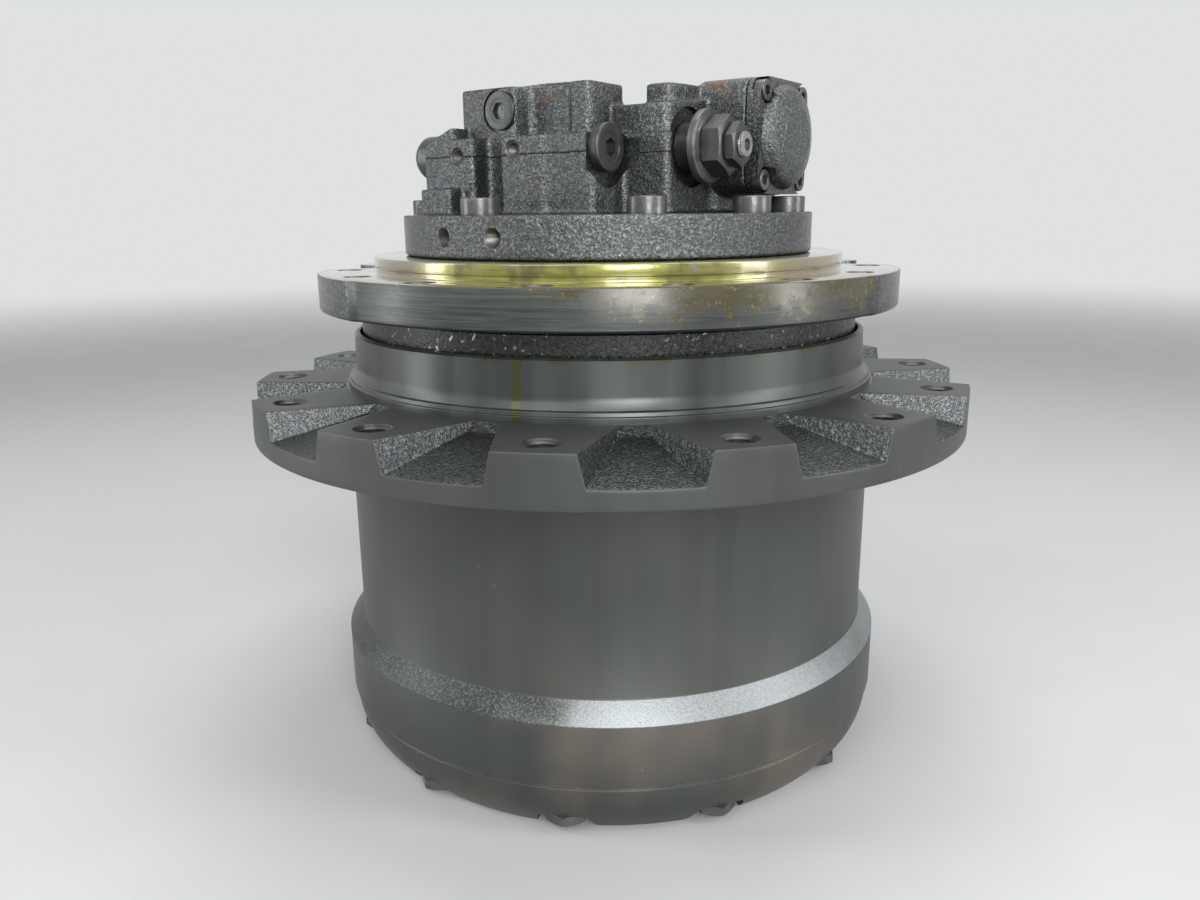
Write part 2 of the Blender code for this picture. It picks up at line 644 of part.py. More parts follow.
def oil_plug(name, angle):
    """Screw plug with a hexagon socket, in the recess of the cover."""
    bm = bmesh.new()
    head_bottom = COVER_RECESS_DEPTH - FIT_GAP - OIL_PLUG_HEAD_HEIGHT
    head_top = COVER_RECESS_DEPTH - FIT_GAP
    profile = [(0, head_bottom), (OIL_PLUG_HEAD_RADIUS, head_bottom), (OIL_PLUG_HEAD_RADIUS, head_top)]
    profile += [(OIL_PLUG_RADIUS, head_top), (OIL_PLUG_RADIUS, COVER_RECESS_DEPTH + COVER_WALL)]
    profile.append((0, COVER_RECESS_DEPTH + COVER_WALL))
    add_turned(bm, profile, BOLT_FACETS, at_radius(angle, OIL_PLUG_CIRCLE_RADIUS))
    plug = finish(make_object(name, bm), "plated_steel")
    socket = bmesh.new()
    place = at_radius(angle, OIL_PLUG_CIRCLE_RADIUS)
    add_prism(socket, hexagon(OIL_PLUG_SOCKET_FLATS), 0, head_bottom + SOCKET_DEPTH, place)
    cut(plug, socket)


def hub():
    """Turning hub: gear case, drum and sprocket flange with its seal collar."""
    bearing_bore = bore(BEARING_OUTER_RADIUS + FIT_GAP, HUB_FACETS)
    gear_bore = bore(RING_GEAR_RADIUS + FIT_GAP, HUB_FACETS)
    seal_bore = bore(SEAL_SEAT_RADIUS, HUB_FACETS)
    profile = [
        (gear_bore, HUB_BOTTOM),
        (HUB_RIM_RADIUS, HUB_BOTTOM),
        (HUB_RIM_RADIUS, HUB_RIM_TOP),
        (DRUM_RADIUS, DRUM_BOTTOM),
        (DRUM_RADIUS, FLANGE_BOTTOM - DRUM_FILLET),
        (DRUM_RADIUS + DRUM_FILLET, FLANGE_BOTTOM),
        (FLANGE_RADIUS - FLANGE_CHAMFER, FLANGE_BOTTOM),
        (FLANGE_RADIUS, FLANGE_BOTTOM + FLANGE_CHAMFER),
        (FLANGE_RADIUS, FLANGE_TOP),
        (COLLAR_BASE_RADIUS, FLANGE_TOP),
        (COLLAR_BASE_RADIUS, FLANGE_TOP + COLLAR_BASE_HEIGHT),
        (COLLAR_RADIUS, FLANGE_TOP + COLLAR_BASE_HEIGHT + COLLAR_FLARE_HEIGHT),
        (COLLAR_RADIUS, HUB_TOP - COLLAR_CHAMFER),
        (COLLAR_RADIUS - COLLAR_CHAMFER, HUB_TOP),
        (COLLAR_INNER_RADIUS, HUB_TOP),
        (COLLAR_INNER_RADIUS, COLLAR_STEP),
        (seal_bore, COLLAR_STEP),
        (seal_bore, FLANGE_TOP),
        (bearing_bore, FLANGE_TOP),
        (bearing_bore, UPPER_BEARING_BOTTOM - FIT_GAP),
        (BEARING_SHOULDER_RADIUS, UPPER_BEARING_BOTTOM - FIT_GAP),
        (BEARING_SHOULDER_RADIUS, LOWER_BEARING_TOP + FIT_GAP),
        (bearing_bore, LOWER_BEARING_TOP + FIT_GAP),
        (bearing_bore, RING_GEAR_TOP + FIT_GAP),
        (gear_bore, RING_GEAR_TOP + FIT_GAP),
    ]
    body = turned_piece("hub", profile, HUB_FACETS, "coated_casting")

    pockets = bmesh.new()
    holes = bmesh.new()
    spacing = 360 / SPROCKET_HOLE_COUNT
    for step in range(SPROCKET_HOLE_COUNT):
        angle = SPROCKET_FIRST_HOLE_ANGLE + spacing * step
        add_pocket(pockets, angle + spacing / 2)
        low = FLANGE_BOTTOM - CUT_MARGIN
        high = FLANGE_TOP + CUT_MARGIN
        place = at_radius(angle, SPROCKET_HOLE_CIRCLE_RADIUS)
        add_cylinder(holes, SPROCKET_HOLE_RADIUS, low, high, BOLT_FACETS, place)
    for step in range(COVER_BOLT_COUNT):
        angle = COVER_FIRST_BOLT_ANGLE + 360 * step / COVER_BOLT_COUNT
        place = at_radius(angle, COVER_BOLT_CIRCLE_RADIUS)
        deep = HUB_BOTTOM + COVER_BOLT_REACH + RUNNING_GAP
        radius = bore(M16_RADIUS + FIT_GAP, M16_SHANK_FACETS)
        add_cylinder(holes, radius, COVER_HEIGHT, deep, M16_SHANK_FACETS, place)
    cut(body, pockets)
    cut(body, holes)


def add_pocket(bm, angle):
    """Add one tapered pocket of the sprocket flange, with a floor that falls to the rim."""
    outer_radius = FLANGE_RADIUS + 2 * CUT_MARGIN
    share = (outer_radius - POCKET_INNER_RADIUS) / (FLANGE_RADIUS - POCKET_INNER_RADIUS)
    outer_depth = POCKET_INNER_DEPTH + (POCKET_RIM_DEPTH - POCKET_INNER_DEPTH) * share
    outer_width = POCKET_INNER_WIDTH + (POCKET_RIM_WIDTH - POCKET_INNER_WIDTH) * share
    ends = ((POCKET_INNER_RADIUS, POCKET_INNER_DEPTH, POCKET_INNER_WIDTH),)
    ends += ((outer_radius, outer_depth, outer_width),)
    sections = []
    for radius, depth, width in ends:
        floor_half = width / 2 - POCKET_DRAFT * depth
        top_half = width / 2 + POCKET_DRAFT * CUT_MARGIN
        floor = FLANGE_TOP - depth
        top = FLANGE_TOP + CUT_MARGIN
        corners = ((radius, -floor_half, floor), (radius, floor_half, floor))
        corners += ((radius, top_half, top), (radius, -top_half, top))
        sections.append(corners)
    add_loft(bm, sections, facing(angle))


def ring_gear():
    """Internal gear that both planet stages drive, held in the hub above the cover."""
    bm = bmesh.new()
    teeth = gear_outline(RING_TEETH, 0, internal=True)
    outer = circle(RING_GEAR_RADIUS, CASING_FACETS)
    add_prism(bm, outer, HUB_BOTTOM, RING_GEAR_TOP, holes=(teeth,))
    finish(make_object("ring_gear", bm), "gear_steel")


def first_stage():
    """Sun on the motor's stem, three planets, and the carrier that drives the second sun."""
    angles = planet_angles()
    phase = sun_phase(angles[0], STAGE_ONE_PLANET_TEETH, STAGE_ONE_SUN_TEETH)
    bm = bmesh.new()
    outline = gear_outline(STAGE_ONE_SUN_TEETH, phase)
    add_prism(bm, outline, STAGE_ONE_BOTTOM, STAGE_ONE_TOP)
    sun = finish(make_object("first_stage_sun", bm), "gear_steel")
    stem = bmesh.new()
    low = STAGE_ONE_TOP - CUT_MARGIN
    add_cylinder(stem, SUN_STEM_RADIUS, low, SHAFT_BOTTOM + SUN_STEM_REACH, BOLT_FACETS)
    add(sun, stem)

    pins = bmesh.new()
    for step, angle in enumerate(angles):
        place = Matrix.Rotation(angle, 4, "Z") @ Matrix.Translation((STAGE_ONE_REACH, 0, 0))
        point = Matrix.Translation(place.translation)
        gear_piece(
            f"first_stage_planet_{step + 1}",
            STAGE_ONE_PLANET_TEETH,
            planet_phase(angle, STAGE_ONE_PLANET_TEETH),
            STAGE_ONE_BOTTOM,
            STAGE_ONE_TOP,
            STAGE_ONE_PIN_RADIUS + FIT_GAP,
            point,
        )
        buried = CARRIER_ONE_BOTTOM + CUT_MARGIN
        add_cylinder(pins, STAGE_ONE_PIN_RADIUS, STAGE_ONE_BOTTOM, buried, BOLT_FACETS, point)
    outer = STAGE_ONE_REACH + CARRIER_ONE_MARGIN
    carrier = ring_piece(
        "first_stage_carrier",
        SUN_TWO_NECK_RADIUS + FIT_GAP,
        outer,
        CARRIER_ONE_BOTTOM,
        CARRIER_ONE_TOP,
        "bare_steel",
        BORE_FACETS,
    )
    add(carrier, pins)


def second_stage():
    """Sun driven by the first carrier, and three planets on pins in the fixed carrier."""
    angles = [angle + math.pi / PLANET_COUNT for angle in planet_angles()]
    phase = sun_phase(angles[0], STAGE_TWO_PLANET_TEETH, STAGE_TWO_SUN_TEETH)
    sun = gear_piece(
        "second_stage_sun",
        STAGE_TWO_SUN_TEETH,
        phase,
        STAGE_TWO_BOTTOM,
        STAGE_TWO_TOP,
        SUN_TWO_BORE_RADIUS,
    )
    neck = bmesh.new()
    bottom = CARRIER_ONE_BOTTOM
    top = STAGE_TWO_BOTTOM + CUT_MARGIN
    hole = bore(SUN_TWO_BORE_RADIUS, BOLT_FACETS)
    profile = [(hole, bottom), (SUN_TWO_NECK_RADIUS, bottom), (SUN_TWO_NECK_RADIUS, top), (hole, top)]
    add_turned(neck, profile, BOLT_FACETS)
    add(sun, neck)

    carrier = ring_piece(
        "fixed_carrier",
        SPINDLE_NOSE_RADIUS + FIT_GAP,
        STAGE_TWO_REACH + CARRIER_TWO_MARGIN,
        CARRIER_TWO_BOTTOM,
        CARRIER_TWO_TOP,
        "bare_steel",
    )
    holes = bmesh.new()
    for step, angle in enumerate(angles):
        place = Matrix.Rotation(angle, 4, "Z") @ Matrix.Translation((STAGE_TWO_REACH, 0, 0))
        point = Matrix.Translation(place.translation)
        gear_piece(
            f"second_stage_planet_{step + 1}",
            STAGE_TWO_PLANET_TEETH,
            planet_phase(angle, STAGE_TWO_PLANET_TEETH),
            STAGE_TWO_BOTTOM,
            STAGE_TWO_TOP,
            STAGE_TWO_PIN_RADIUS + FIT_GAP,
            point,
        )
        pin = bmesh.new()
        add_cylinder(pin, STAGE_TWO_PIN_RADIUS, STAGE_TWO_BOTTOM, CARRIER_TWO_TOP, BOLT_FACETS)
        finish(make_object(f"second_stage_pin_{step + 1}", pin, point), "bare_steel")
        radius = seat_bore(STAGE_TWO_PIN_RADIUS, BOLT_FACETS)
        low = CARRIER_TWO_BOTTOM - CUT_MARGIN
        add_cylinder(holes, radius, low, CARRIER_TWO_TOP + CUT_MARGIN, BOLT_FACETS, point)
    cut(carrier, holes)


def hub_bearing(side, low):
    """Inner ring, outer ring, and rollers in their cage."""
    high = low + BEARING_HEIGHT
    inner_seat = BEARING_SEAT_RADIUS + FIT_GAP
    ring_piece(f"{side}_bearing_inner_ring", inner_seat, INNER_RACE_RADIUS, low, high, "bare_steel")
    ring_piece(
        f"{side}_bearing_outer_ring", OUTER_RACE_RADIUS, BEARING_OUTER_RADIUS, low, high, "bare_steel"
    )
    middle = (OUTER_RACE_RADIUS + INNER_RACE_RADIUS) / 2
    roller_radius = (OUTER_RACE_RADIUS - INNER_RACE_RADIUS) / 2 - FIT_GAP
    bottom = low + ROLLER_END_CLEARANCE
    top = high - ROLLER_END_CLEARANCE
    rollers = bmesh.new()
    for step in range(ROLLER_COUNT):
        angle = 2 * math.pi * step / ROLLER_COUNT
        place = Matrix.Rotation(angle, 4, "Z") @ Matrix.Translation((middle, 0, 0))
        add_cylinder(rollers, roller_radius, bottom + CAGE_THICKNESS / 2, top, ROLLER_FACETS, place)
    cage = ring_piece(
        f"{side}_bearing_rollers",
        middle - CAGE_WIDTH / 2,
        middle + CAGE_WIDTH / 2,
        bottom,
        bottom + CAGE_THICKNESS,
        "bare_steel",
    )
    add(cage, rollers)


def floating_seal():
    """Two lapped metal rings, each pressed by its own O-ring."""
    section = (SEAL_SEAT_RADIUS - SEAL_RING_RADIUS) / 2 - FIT_GAP
    middle = (SEAL_SEAT_RADIUS + SEAL_RING_RADIUS) / 2
    for side, way in (("hub", -1), ("fixed", 1)):
        face = SEAL_FACE + way * FIT_GAP / 2
        lip = face + way * SEAL_LIP_THICKNESS
        end = face + way * SEAL_RING_HEIGHT
        inner = bore(SEAL_RING_INNER_RADIUS, RING_FACETS)
        profile = [(inner, face), (SEAL_LIP_RADIUS, face), (SEAL_LIP_RADIUS, lip)]
        profile += [(SEAL_RING_RADIUS, lip), (SEAL_RING_RADIUS, end), (inner, end)]
        turned_piece(f"seal_ring_{side}", profile, RING_FACETS, "bare_steel")
        centre = lip + way * (section + FIT_GAP)
        corners = circle(section, O_RING_FACETS, (middle, centre))
        turned_piece(f"seal_o_ring_{side}", corners, RING_FACETS, "rubber")


def bearing_nut():
    """Slotted nut that holds both hub bearings on the spindle."""
    thread = NUT_THREAD_RADIUS + FIT_GAP
    ring_piece("bearing_nut", thread, NUT_OUTER_RADIUS, NUT_BOTTOM, NUT_TOP, "bare_steel")


def mount_outline():
    """Outline of the frame mount: cast ears at the sides, each with a notch between two holes."""
    first, last = MOUNT_FRONT_ANGLES
    spacing = 360 / MOUNT_HOLE_COUNT
    lobes = [MOUNT_FIRST_HOLE_ANGLE + spacing * step for step in MOUNT_LOBE_HOLES]
    reach = math.degrees(math.asin(MOUNT_LOBE_RADIUS / MOUNT_HOLE_CIRCLE_RADIUS))
    edge = reach + MOUNT_NOTCH_EDGE_ANGLE
    rows = []
    for step in range(MOUNT_FACETS):
        angle = 360 * step / MOUNT_FACETS - 180
        front = first <= angle <= last
        back = angle <= first - 90 or angle >= last + 90
        if not lobes[0] <= abs(angle) <= lobes[1]:
            rows.append((angle, MOUNT_RADIUS if front or back else MOUNT_EAR_RADIUS))
    for side in (-1, 1):
        for lobe, way in ((lobes[0], 1), (lobes[1], -1)):
            for step in range(MOUNT_LOBE_STEPS + 1):
                turn = math.pi / 2 * step / MOUNT_LOBE_STEPS
                out = MOUNT_HOLE_CIRCLE_RADIUS + MOUNT_LOBE_RADIUS * math.cos(turn)
                across = MOUNT_LOBE_RADIUS * math.sin(turn)
                angle = lobe + way * math.degrees(math.atan2(across, out))
                rows.append((side * angle, math.hypot(out, across)))
            rows.append((side * (lobe + way * edge), MOUNT_NOTCH_RADIUS))
    points = []
    for angle, radius in sorted(rows):
        turn = math.radians(angle - 90)
        points.append((radius * math.cos(turn), radius * math.sin(turn)))
    return points


def motor_housing():
    """Fixed casting: spindle, seal seat, frame mount flange, and the motor's cavity."""
    profile = [
        (0, SPINDLE_BOTTOM),
        (SPINDLE_NOSE_RADIUS, SPINDLE_BOTTOM),
        (SPINDLE_NOSE_RADIUS, SPINDLE_BOTTOM + SPINDLE_NOSE_HEIGHT),
        (NUT_THREAD_RADIUS, SPINDLE_BOTTOM + SPINDLE_NOSE_HEIGHT),
        (NUT_THREAD_RADIUS, NUT_TOP),
        (BEARING_SEAT_RADIUS, NUT_TOP),
        (BEARING_SEAT_RADIUS, SPINDLE_SHOULDER),
        (SPINDLE_SHOULDER_RADIUS, SPINDLE_SHOULDER),
        (SPINDLE_SHOULDER_RADIUS, FLANGE_TOP + RUNNING_GAP),
        (SPINDLE_COLLAR_RADIUS, FLANGE_TOP + RUNNING_GAP),
        (SPINDLE_COLLAR_RADIUS, HOUSING_UNDERSIDE),
        (SEAL_POCKET_INNER_RADIUS, HOUSING_UNDERSIDE),
        (SEAL_POCKET_INNER_RADIUS, HOUSING_UNDERSIDE + SEAL_POCKET_DEPTH),
        (bore(SEAL_SEAT_RADIUS, CASING_FACETS), HOUSING_UNDERSIDE + SEAL_POCKET_DEPTH),
        (bore(SEAL_SEAT_RADIUS, CASING_FACETS), HOUSING_UNDERSIDE),
        (NECK_RADIUS, HOUSING_UNDERSIDE),
        (NECK_RADIUS, MOUNT_BOTTOM + CUT_MARGIN),
        (SPIGOT_RADIUS, MOUNT_BOTTOM + CUT_MARGIN),
        (SPIGOT_RADIUS, SPIGOT_TOP),
        (0, SPIGOT_TOP),
    ]
    body = turned_piece("motor_housing", profile, CASING_FACETS, "coated_casting")
    flange = bmesh.new()
    add_prism(flange, mount_outline(), MOUNT_BOTTOM, MOUNT_TOP)
    add(body, flange)

    cavity = bmesh.new()
    low_bore = bore(CAVITY_LOWER_RADIUS, BORE_FACETS)
    bearing_bore = bore(FRONT_BEARING_RADIUS + FIT_GAP, BORE_FACETS)
    hollow = [
        (0, SPINDLE_BOTTOM - CUT_MARGIN),
        (SHAFT_CLEARANCE_RADIUS, SPINDLE_BOTTOM - CUT_MARGIN),
        (SHAFT_CLEARANCE_RADIUS, FRONT_BEARING_BOTTOM),
        (bearing_bore, FRONT_BEARING_BOTTOM),
        (bearing_bore, CAVITY_FLOOR),
        (low_bore, CAVITY_FLOOR),
        (low_bore, BRAKE_SEAT),
        (bore(CAVITY_RADIUS, BORE_FACETS), BRAKE_SEAT),
        (bore(CAVITY_RADIUS, BORE_FACETS), SPIGOT_TOP + CUT_MARGIN),
        (0, SPIGOT_TOP + CUT_MARGIN),
    ]
    add_turned(cavity, hollow, BORE_FACETS)
    cut(body, cavity)

    saddles = bmesh.new()
    width = (-SADDLE_HALF_WIDTH, SADDLE_HALF_WIDTH)
    for side in (-1, 1):
        ends = sorted((side * JOURNAL_INNER_X, side * JOURNAL_OUTER_X))
        outline = [(ends[0], width[0]), (ends[1], width[0]), (ends[1], width[1]), (ends[0], width[1])]
        add_prism(saddles, outline, CAVITY_FLOOR - CUT_MARGIN, CAVITY_FLOOR + SADDLE_HEIGHT)
    add(body, saddles)

    holes = bmesh.new()
    pivot = Matrix.Translation((0, 0, SWASH_PIVOT)) @ Matrix.Rotation(math.pi / 2, 4, "Y")
    seat = bore(JOURNAL_RADIUS + FIT_GAP, BORE_FACETS)
    reach = JOURNAL_OUTER_X + CUT_MARGIN
    add_cylinder(holes, seat, -reach, reach, BORE_FACETS, pivot)
    for step in range(MOUNT_HOLE_COUNT):
        angle = MOUNT_FIRST_HOLE_ANGLE + 360 * step / MOUNT_HOLE_COUNT
        place = at_radius(angle, MOUNT_HOLE_CIRCLE_RADIUS)
        low = MOUNT_TOP - MOUNT_HOLE_DEPTH
        add_cylinder(holes, M16_RADIUS, low, MOUNT_TOP + CUT_MARGIN, MOUNT_HOLE_FACETS, place)
    for angle in BLOCK_BOLT_ANGLES:
        place = at_radius(angle, BLOCK_BOLT_CIRCLE_RADIUS)
        low = SPIGOT_TOP - BLOCK_BOLT_REACH - RUNNING_GAP
        radius = bore(M16_RADIUS + FIT_GAP, HOLE_FACETS)
        add_cylinder(holes, radius, low, SPIGOT_TOP + CUT_MARGIN, HOLE_FACETS, place)
    cut(body, holes)


def rotating_group():
    """Drive shaft, cylinder block with its pistons, valve plate and shaft bearings."""
    bm = bmesh.new()
    add_cylinder(bm, SHAFT_RADIUS, SHAFT_BOTTOM, REAR_BEARING_TOP, BORE_FACETS)
    shaft = finish(make_object("drive_shaft", bm), "bare_steel")
    spline = bmesh.new()
    high = SHAFT_BOTTOM + SUN_STEM_REACH + RUNNING_GAP
    radius = bore(SUN_STEM_RADIUS + FIT_GAP, BOLT_FACETS)
    add_cylinder(spline, radius, SHAFT_BOTTOM - CUT_MARGIN, high, BOLT_FACETS)
    cut(shaft, spline)

    running = SHAFT_RADIUS + FIT_GAP
    block = ring_piece(
        "cylinder_block", running, CYLINDER_RADIUS, CYLINDER_BOTTOM, CYLINDER_TOP, "bare_steel", BORE_FACETS
    )
    pistons = bmesh.new()
    for step in range(PISTON_COUNT):
        place = at_radius(360 * step / PISTON_COUNT, PISTON_CIRCLE_RADIUS)
        low = CYLINDER_BOTTOM - PISTON_PROTRUSION
        add_cylinder(pistons, PISTON_RADIUS, low, CYLINDER_BOTTOM + CUT_MARGIN, HOLE_FACETS, place)
    add(block, pistons)

    low = VALVE_PLATE_TOP - VALVE_PLATE_THICKNESS
    ring_piece("valve_plate", running, VALVE_PLATE_RADIUS, low, VALVE_PLATE_TOP, "bronze", BORE_FACETS)
    low = FRONT_BEARING_BOTTOM + FIT_GAP
    high = low + FRONT_BEARING_HEIGHT
    ring_piece("shaft_bearing_front", running, FRONT_BEARING_RADIUS, low, high, "bare_steel", BORE_FACETS)
    ring_piece(
        "shaft_bearing_rear",
        running,
        REAR_BEARING_RADIUS,
        REAR_BEARING_BOTTOM,
        REAR_BEARING_TOP,
        "bare_steel",
        BORE_FACETS,
    )


def swash_group():
    """Tilting swash plate on two journals, and the plate of piston shoes on its face."""
    tilt = Matrix.Rotation(math.radians(SWASH_ANGLE), 4, "X")
    pivot = Matrix.Translation((0, 0, SWASH_PIVOT)) @ tilt
    hole = bore(SWASH_BORE_RADIUS, BORE_FACETS)
    bm = bmesh.new()
    profile = [(hole, -SWASH_THICKNESS), (SWASH_RADIUS, -SWASH_THICKNESS), (SWASH_RADIUS, 0), (hole, 0)]
    add_turned(bm, profile, BORE_FACETS)
    journals = bmesh.new()
    arc = []
    for step in range(BORE_FACETS // 2 + 1):
        angle = 2 * math.pi * step / BORE_FACETS
        arc.append((-CUT_MARGIN - JOURNAL_RADIUS * math.sin(angle), JOURNAL_RADIUS * math.cos(angle)))
    flat = [(min(-CUT_MARGIN, x + CUT_MARGIN), y) for x, y in arc]
    for side in (-1, 1):
        ends = sorted((side * JOURNAL_INNER_X, side * JOURNAL_OUTER_X))
        sections = [[(x, y, z) for z, y in flat] for x in ends]
        add_loft(journals, sections)
    plate = finish(make_object("swash_plate", bm), "bare_steel")
    add(plate, journals)
    plate.modifiers[0].object.parent = plate
    plate.matrix_world = pivot

    hole = bore(SHOE_PLATE_BORE_RADIUS, BORE_FACETS)
    low = FIT_GAP
    high = FIT_GAP + SHOE_PLATE_THICKNESS
    profile = [(hole, low), (SHOE_PLATE_RADIUS, low), (SHOE_PLATE_RADIUS, high), (hole, high)]
    shoes = bmesh.new()
    for step in range(PISTON_COUNT):
        place = at_radius(360 * step / PISTON_COUNT, PISTON_CIRCLE_RADIUS)
        add_cylinder(shoes, SHOE_RADIUS, high - FIT_GAP, SHOE_HEIGHT, HOLE_FACETS, place)
    plate = turned_piece("shoe_plate", profile, BORE_FACETS, "bronze")
    add(plate, shoes)
    plate.modifiers[0].object.parent = plate
    plate.matrix_world = pivot


def parking_brake():
    """Brake disc on the cylinder block, and the sprung piston that presses it."""
    low = BRAKE_SEAT + FIT_GAP
    high = low + BRAKE_DISC_THICKNESS
    ring_piece("brake_disc", CYLINDER_RADIUS + FIT_GAP, BRAKE_DISC_RADIUS, low, high, "bare_steel")
    low = high + FIT_GAP
    ring_piece(
        "brake_piston",
        BRAKE_PISTON_INNER_RADIUS,
        CAVITY_RADIUS - FIT_GAP,
        low,
        low + BRAKE_PISTON_HEIGHT,
        "bare_steel",
    )


def valve_block():
    """Cast valve block on the motor: round flange, tiers, bosses and threaded ports."""
    bm = bmesh.new()
    add_cylinder(bm, BLOCK_FLANGE_RADIUS, BLOCK_BOTTOM, BLOCK_BASE, CASING_FACETS)
    block = finish(make_object("valve_block", bm), "coated_casting")

    tiers = (
        (LOWER_TIER_OUTLINE, LOWER_TIER_LEVELS),
        (UPPER_TIER_OUTLINE, UPPER_TIER_LEVELS),
        (CROWN_OUTLINE, CROWN_LEVELS),
        (MAIN_TIER_OUTLINE, MAIN_TIER_LEVELS),
        (RIGHT_TIER_OUTLINE, RIGHT_TIER_LEVELS),
    )
    for outline, (low, high) in tiers:
        tier = bmesh.new()
        add_prism(tier, outline, BLOCK_BASE + low, BLOCK_BASE + high, BLOCK_AXES)
        add(block, tier)
    housing = bmesh.new()
    half = RIGHT_HOUSING_HALF_WIDTH
    corner = half * RIGHT_HOUSING_CORNER_SHARE
    outline = [(-half, -corner), (-corner, -half), (corner, -half), (half, -corner)]
    outline += [(half, corner), (corner, half), (-corner, half), (-half, corner)]
    place = block_axis(0, SPOOL_V, SPOOL_HEIGHT, "+u")
    add_prism(housing, outline, RIGHT_FACE_U - RIGHT_HOUSING_DEPTH, RIGHT_FACE_U, place)
    add(block, housing)

    holes = bmesh.new()
    spool_end = RIGHT_FACE_U - SPOOL_LENGTH - 2 * SPOOL_TRAVEL - 2 * RUNNING_GAP
    high = RIGHT_FACE_U + CUT_MARGIN
    add_cylinder(holes, bore(SPOOL_RADIUS + FIT_GAP, BOLT_FACETS), spool_end, high, BOLT_FACETS, place)
    shank = bore(PLUG_SHANK_RADIUS + FIT_GAP, HOLE_FACETS)
    for piece_axis in plug_axes().values():
        add_cylinder(holes, shank, -PLUG_SHANK_LENGTH - RUNNING_GAP, CUT_MARGIN, HOLE_FACETS, piece_axis)
    for angle in BLOCK_BOLT_ANGLES:
        place = at_radius(angle, BLOCK_BOLT_CIRCLE_RADIUS)
        radius = bore(M16_RADIUS + FIT_GAP, BOLT_FACETS)
        seat = BLOCK_BASE - SPOTFACE_DEPTH
        low = BLOCK_BOTTOM - CUT_MARGIN
        high = seat + BLOCK_BOLT_HEAD_HEIGHT + CUT_MARGIN
        add_step_hole(holes, radius, low, seat, SPOTFACE_RADIUS, high, BOLT_FACETS, place)
    radius = bore(REAR_BEARING_RADIUS + FIT_GAP, BORE_FACETS)
    add_cylinder(holes, radius, BLOCK_BOTTOM - CUT_MARGIN, REAR_BEARING_TOP + RUNNING_GAP, BORE_FACETS)
    cut(block, holes)

    ports = bmesh.new()
    level = BLOCK_BOTTOM + BLOCK_FLANGE_THICKNESS / 2
    for angle in RIM_PORT_ANGLES:
        out = facing(angle) @ Matrix.Translation((0, 0, level)) @ Matrix.Rotation(math.pi / 2, 4, "Y")
        low = BLOCK_FLANGE_RADIUS - RIM_PORT_DEPTH
        add_cylinder(ports, RIM_PORT_RADIUS, low, BLOCK_FLANGE_RADIUS + CUT_MARGIN, HOLE_FACETS, out)
    for u, v, height in FACE_PORTS:
        out = block_axis(u, v, height, "-v")
        add_cylinder(ports, FACE_PORT_RADIUS, -FACE_PORT_DEPTH, CUT_MARGIN, HOLE_FACETS, out)
    for u, radius in BACK_PORTS:
        out = block_axis(u, BACK_FACE_V, BACK_PORT_HEIGHT, "+v")
        add_cylinder(ports, radius, -BACK_PORT_DEPTH, CUT_MARGIN, BOLT_FACETS, out)
    cut(block, ports)


def plug_axes():
    """Seats of the screwed-in pieces of the valve block, each along its outward axis."""
    return {
        "front_plug": block_axis(FRONT_FACE_U, FRONT_PLUG_V, FRONT_PLUG_HEIGHT, "+u"),
        "upper_plug": block_axis(UPPER_PLUG_U, UPPER_FACE_V, UPPER_PLUG_HEIGHT, "-v"),
        "relief_valve": block_axis(RELIEF_FACE_U, RELIEF_V, RELIEF_HEIGHT, "+u"),
        "left_spool_cap": block_axis(LEFT_FACE_U, LEFT_CAP_V, LEFT_CAP_HEIGHT, "-u"),
    }


def screw_plug(name, place, radius, proud, socket_flats):
    """Round plug with a hexagon socket, screwed into a face."""
    bm = bmesh.new()
    profile = [(0, -PLUG_SHANK_LENGTH), (PLUG_SHANK_RADIUS, -PLUG_SHANK_LENGTH)]
    profile += [(PLUG_SHANK_RADIUS, FIT_GAP), (radius, FIT_GAP), (radius, proud), (0, proud)]
    add_turned(bm, profile, BOLT_FACETS, place)
    plug = finish(make_object(name, bm), "black_steel")
    socket = bmesh.new()
    add_prism(socket, hexagon(socket_flats), proud - SOCKET_DEPTH, proud + CUT_MARGIN, place)
    cut(plug, socket)


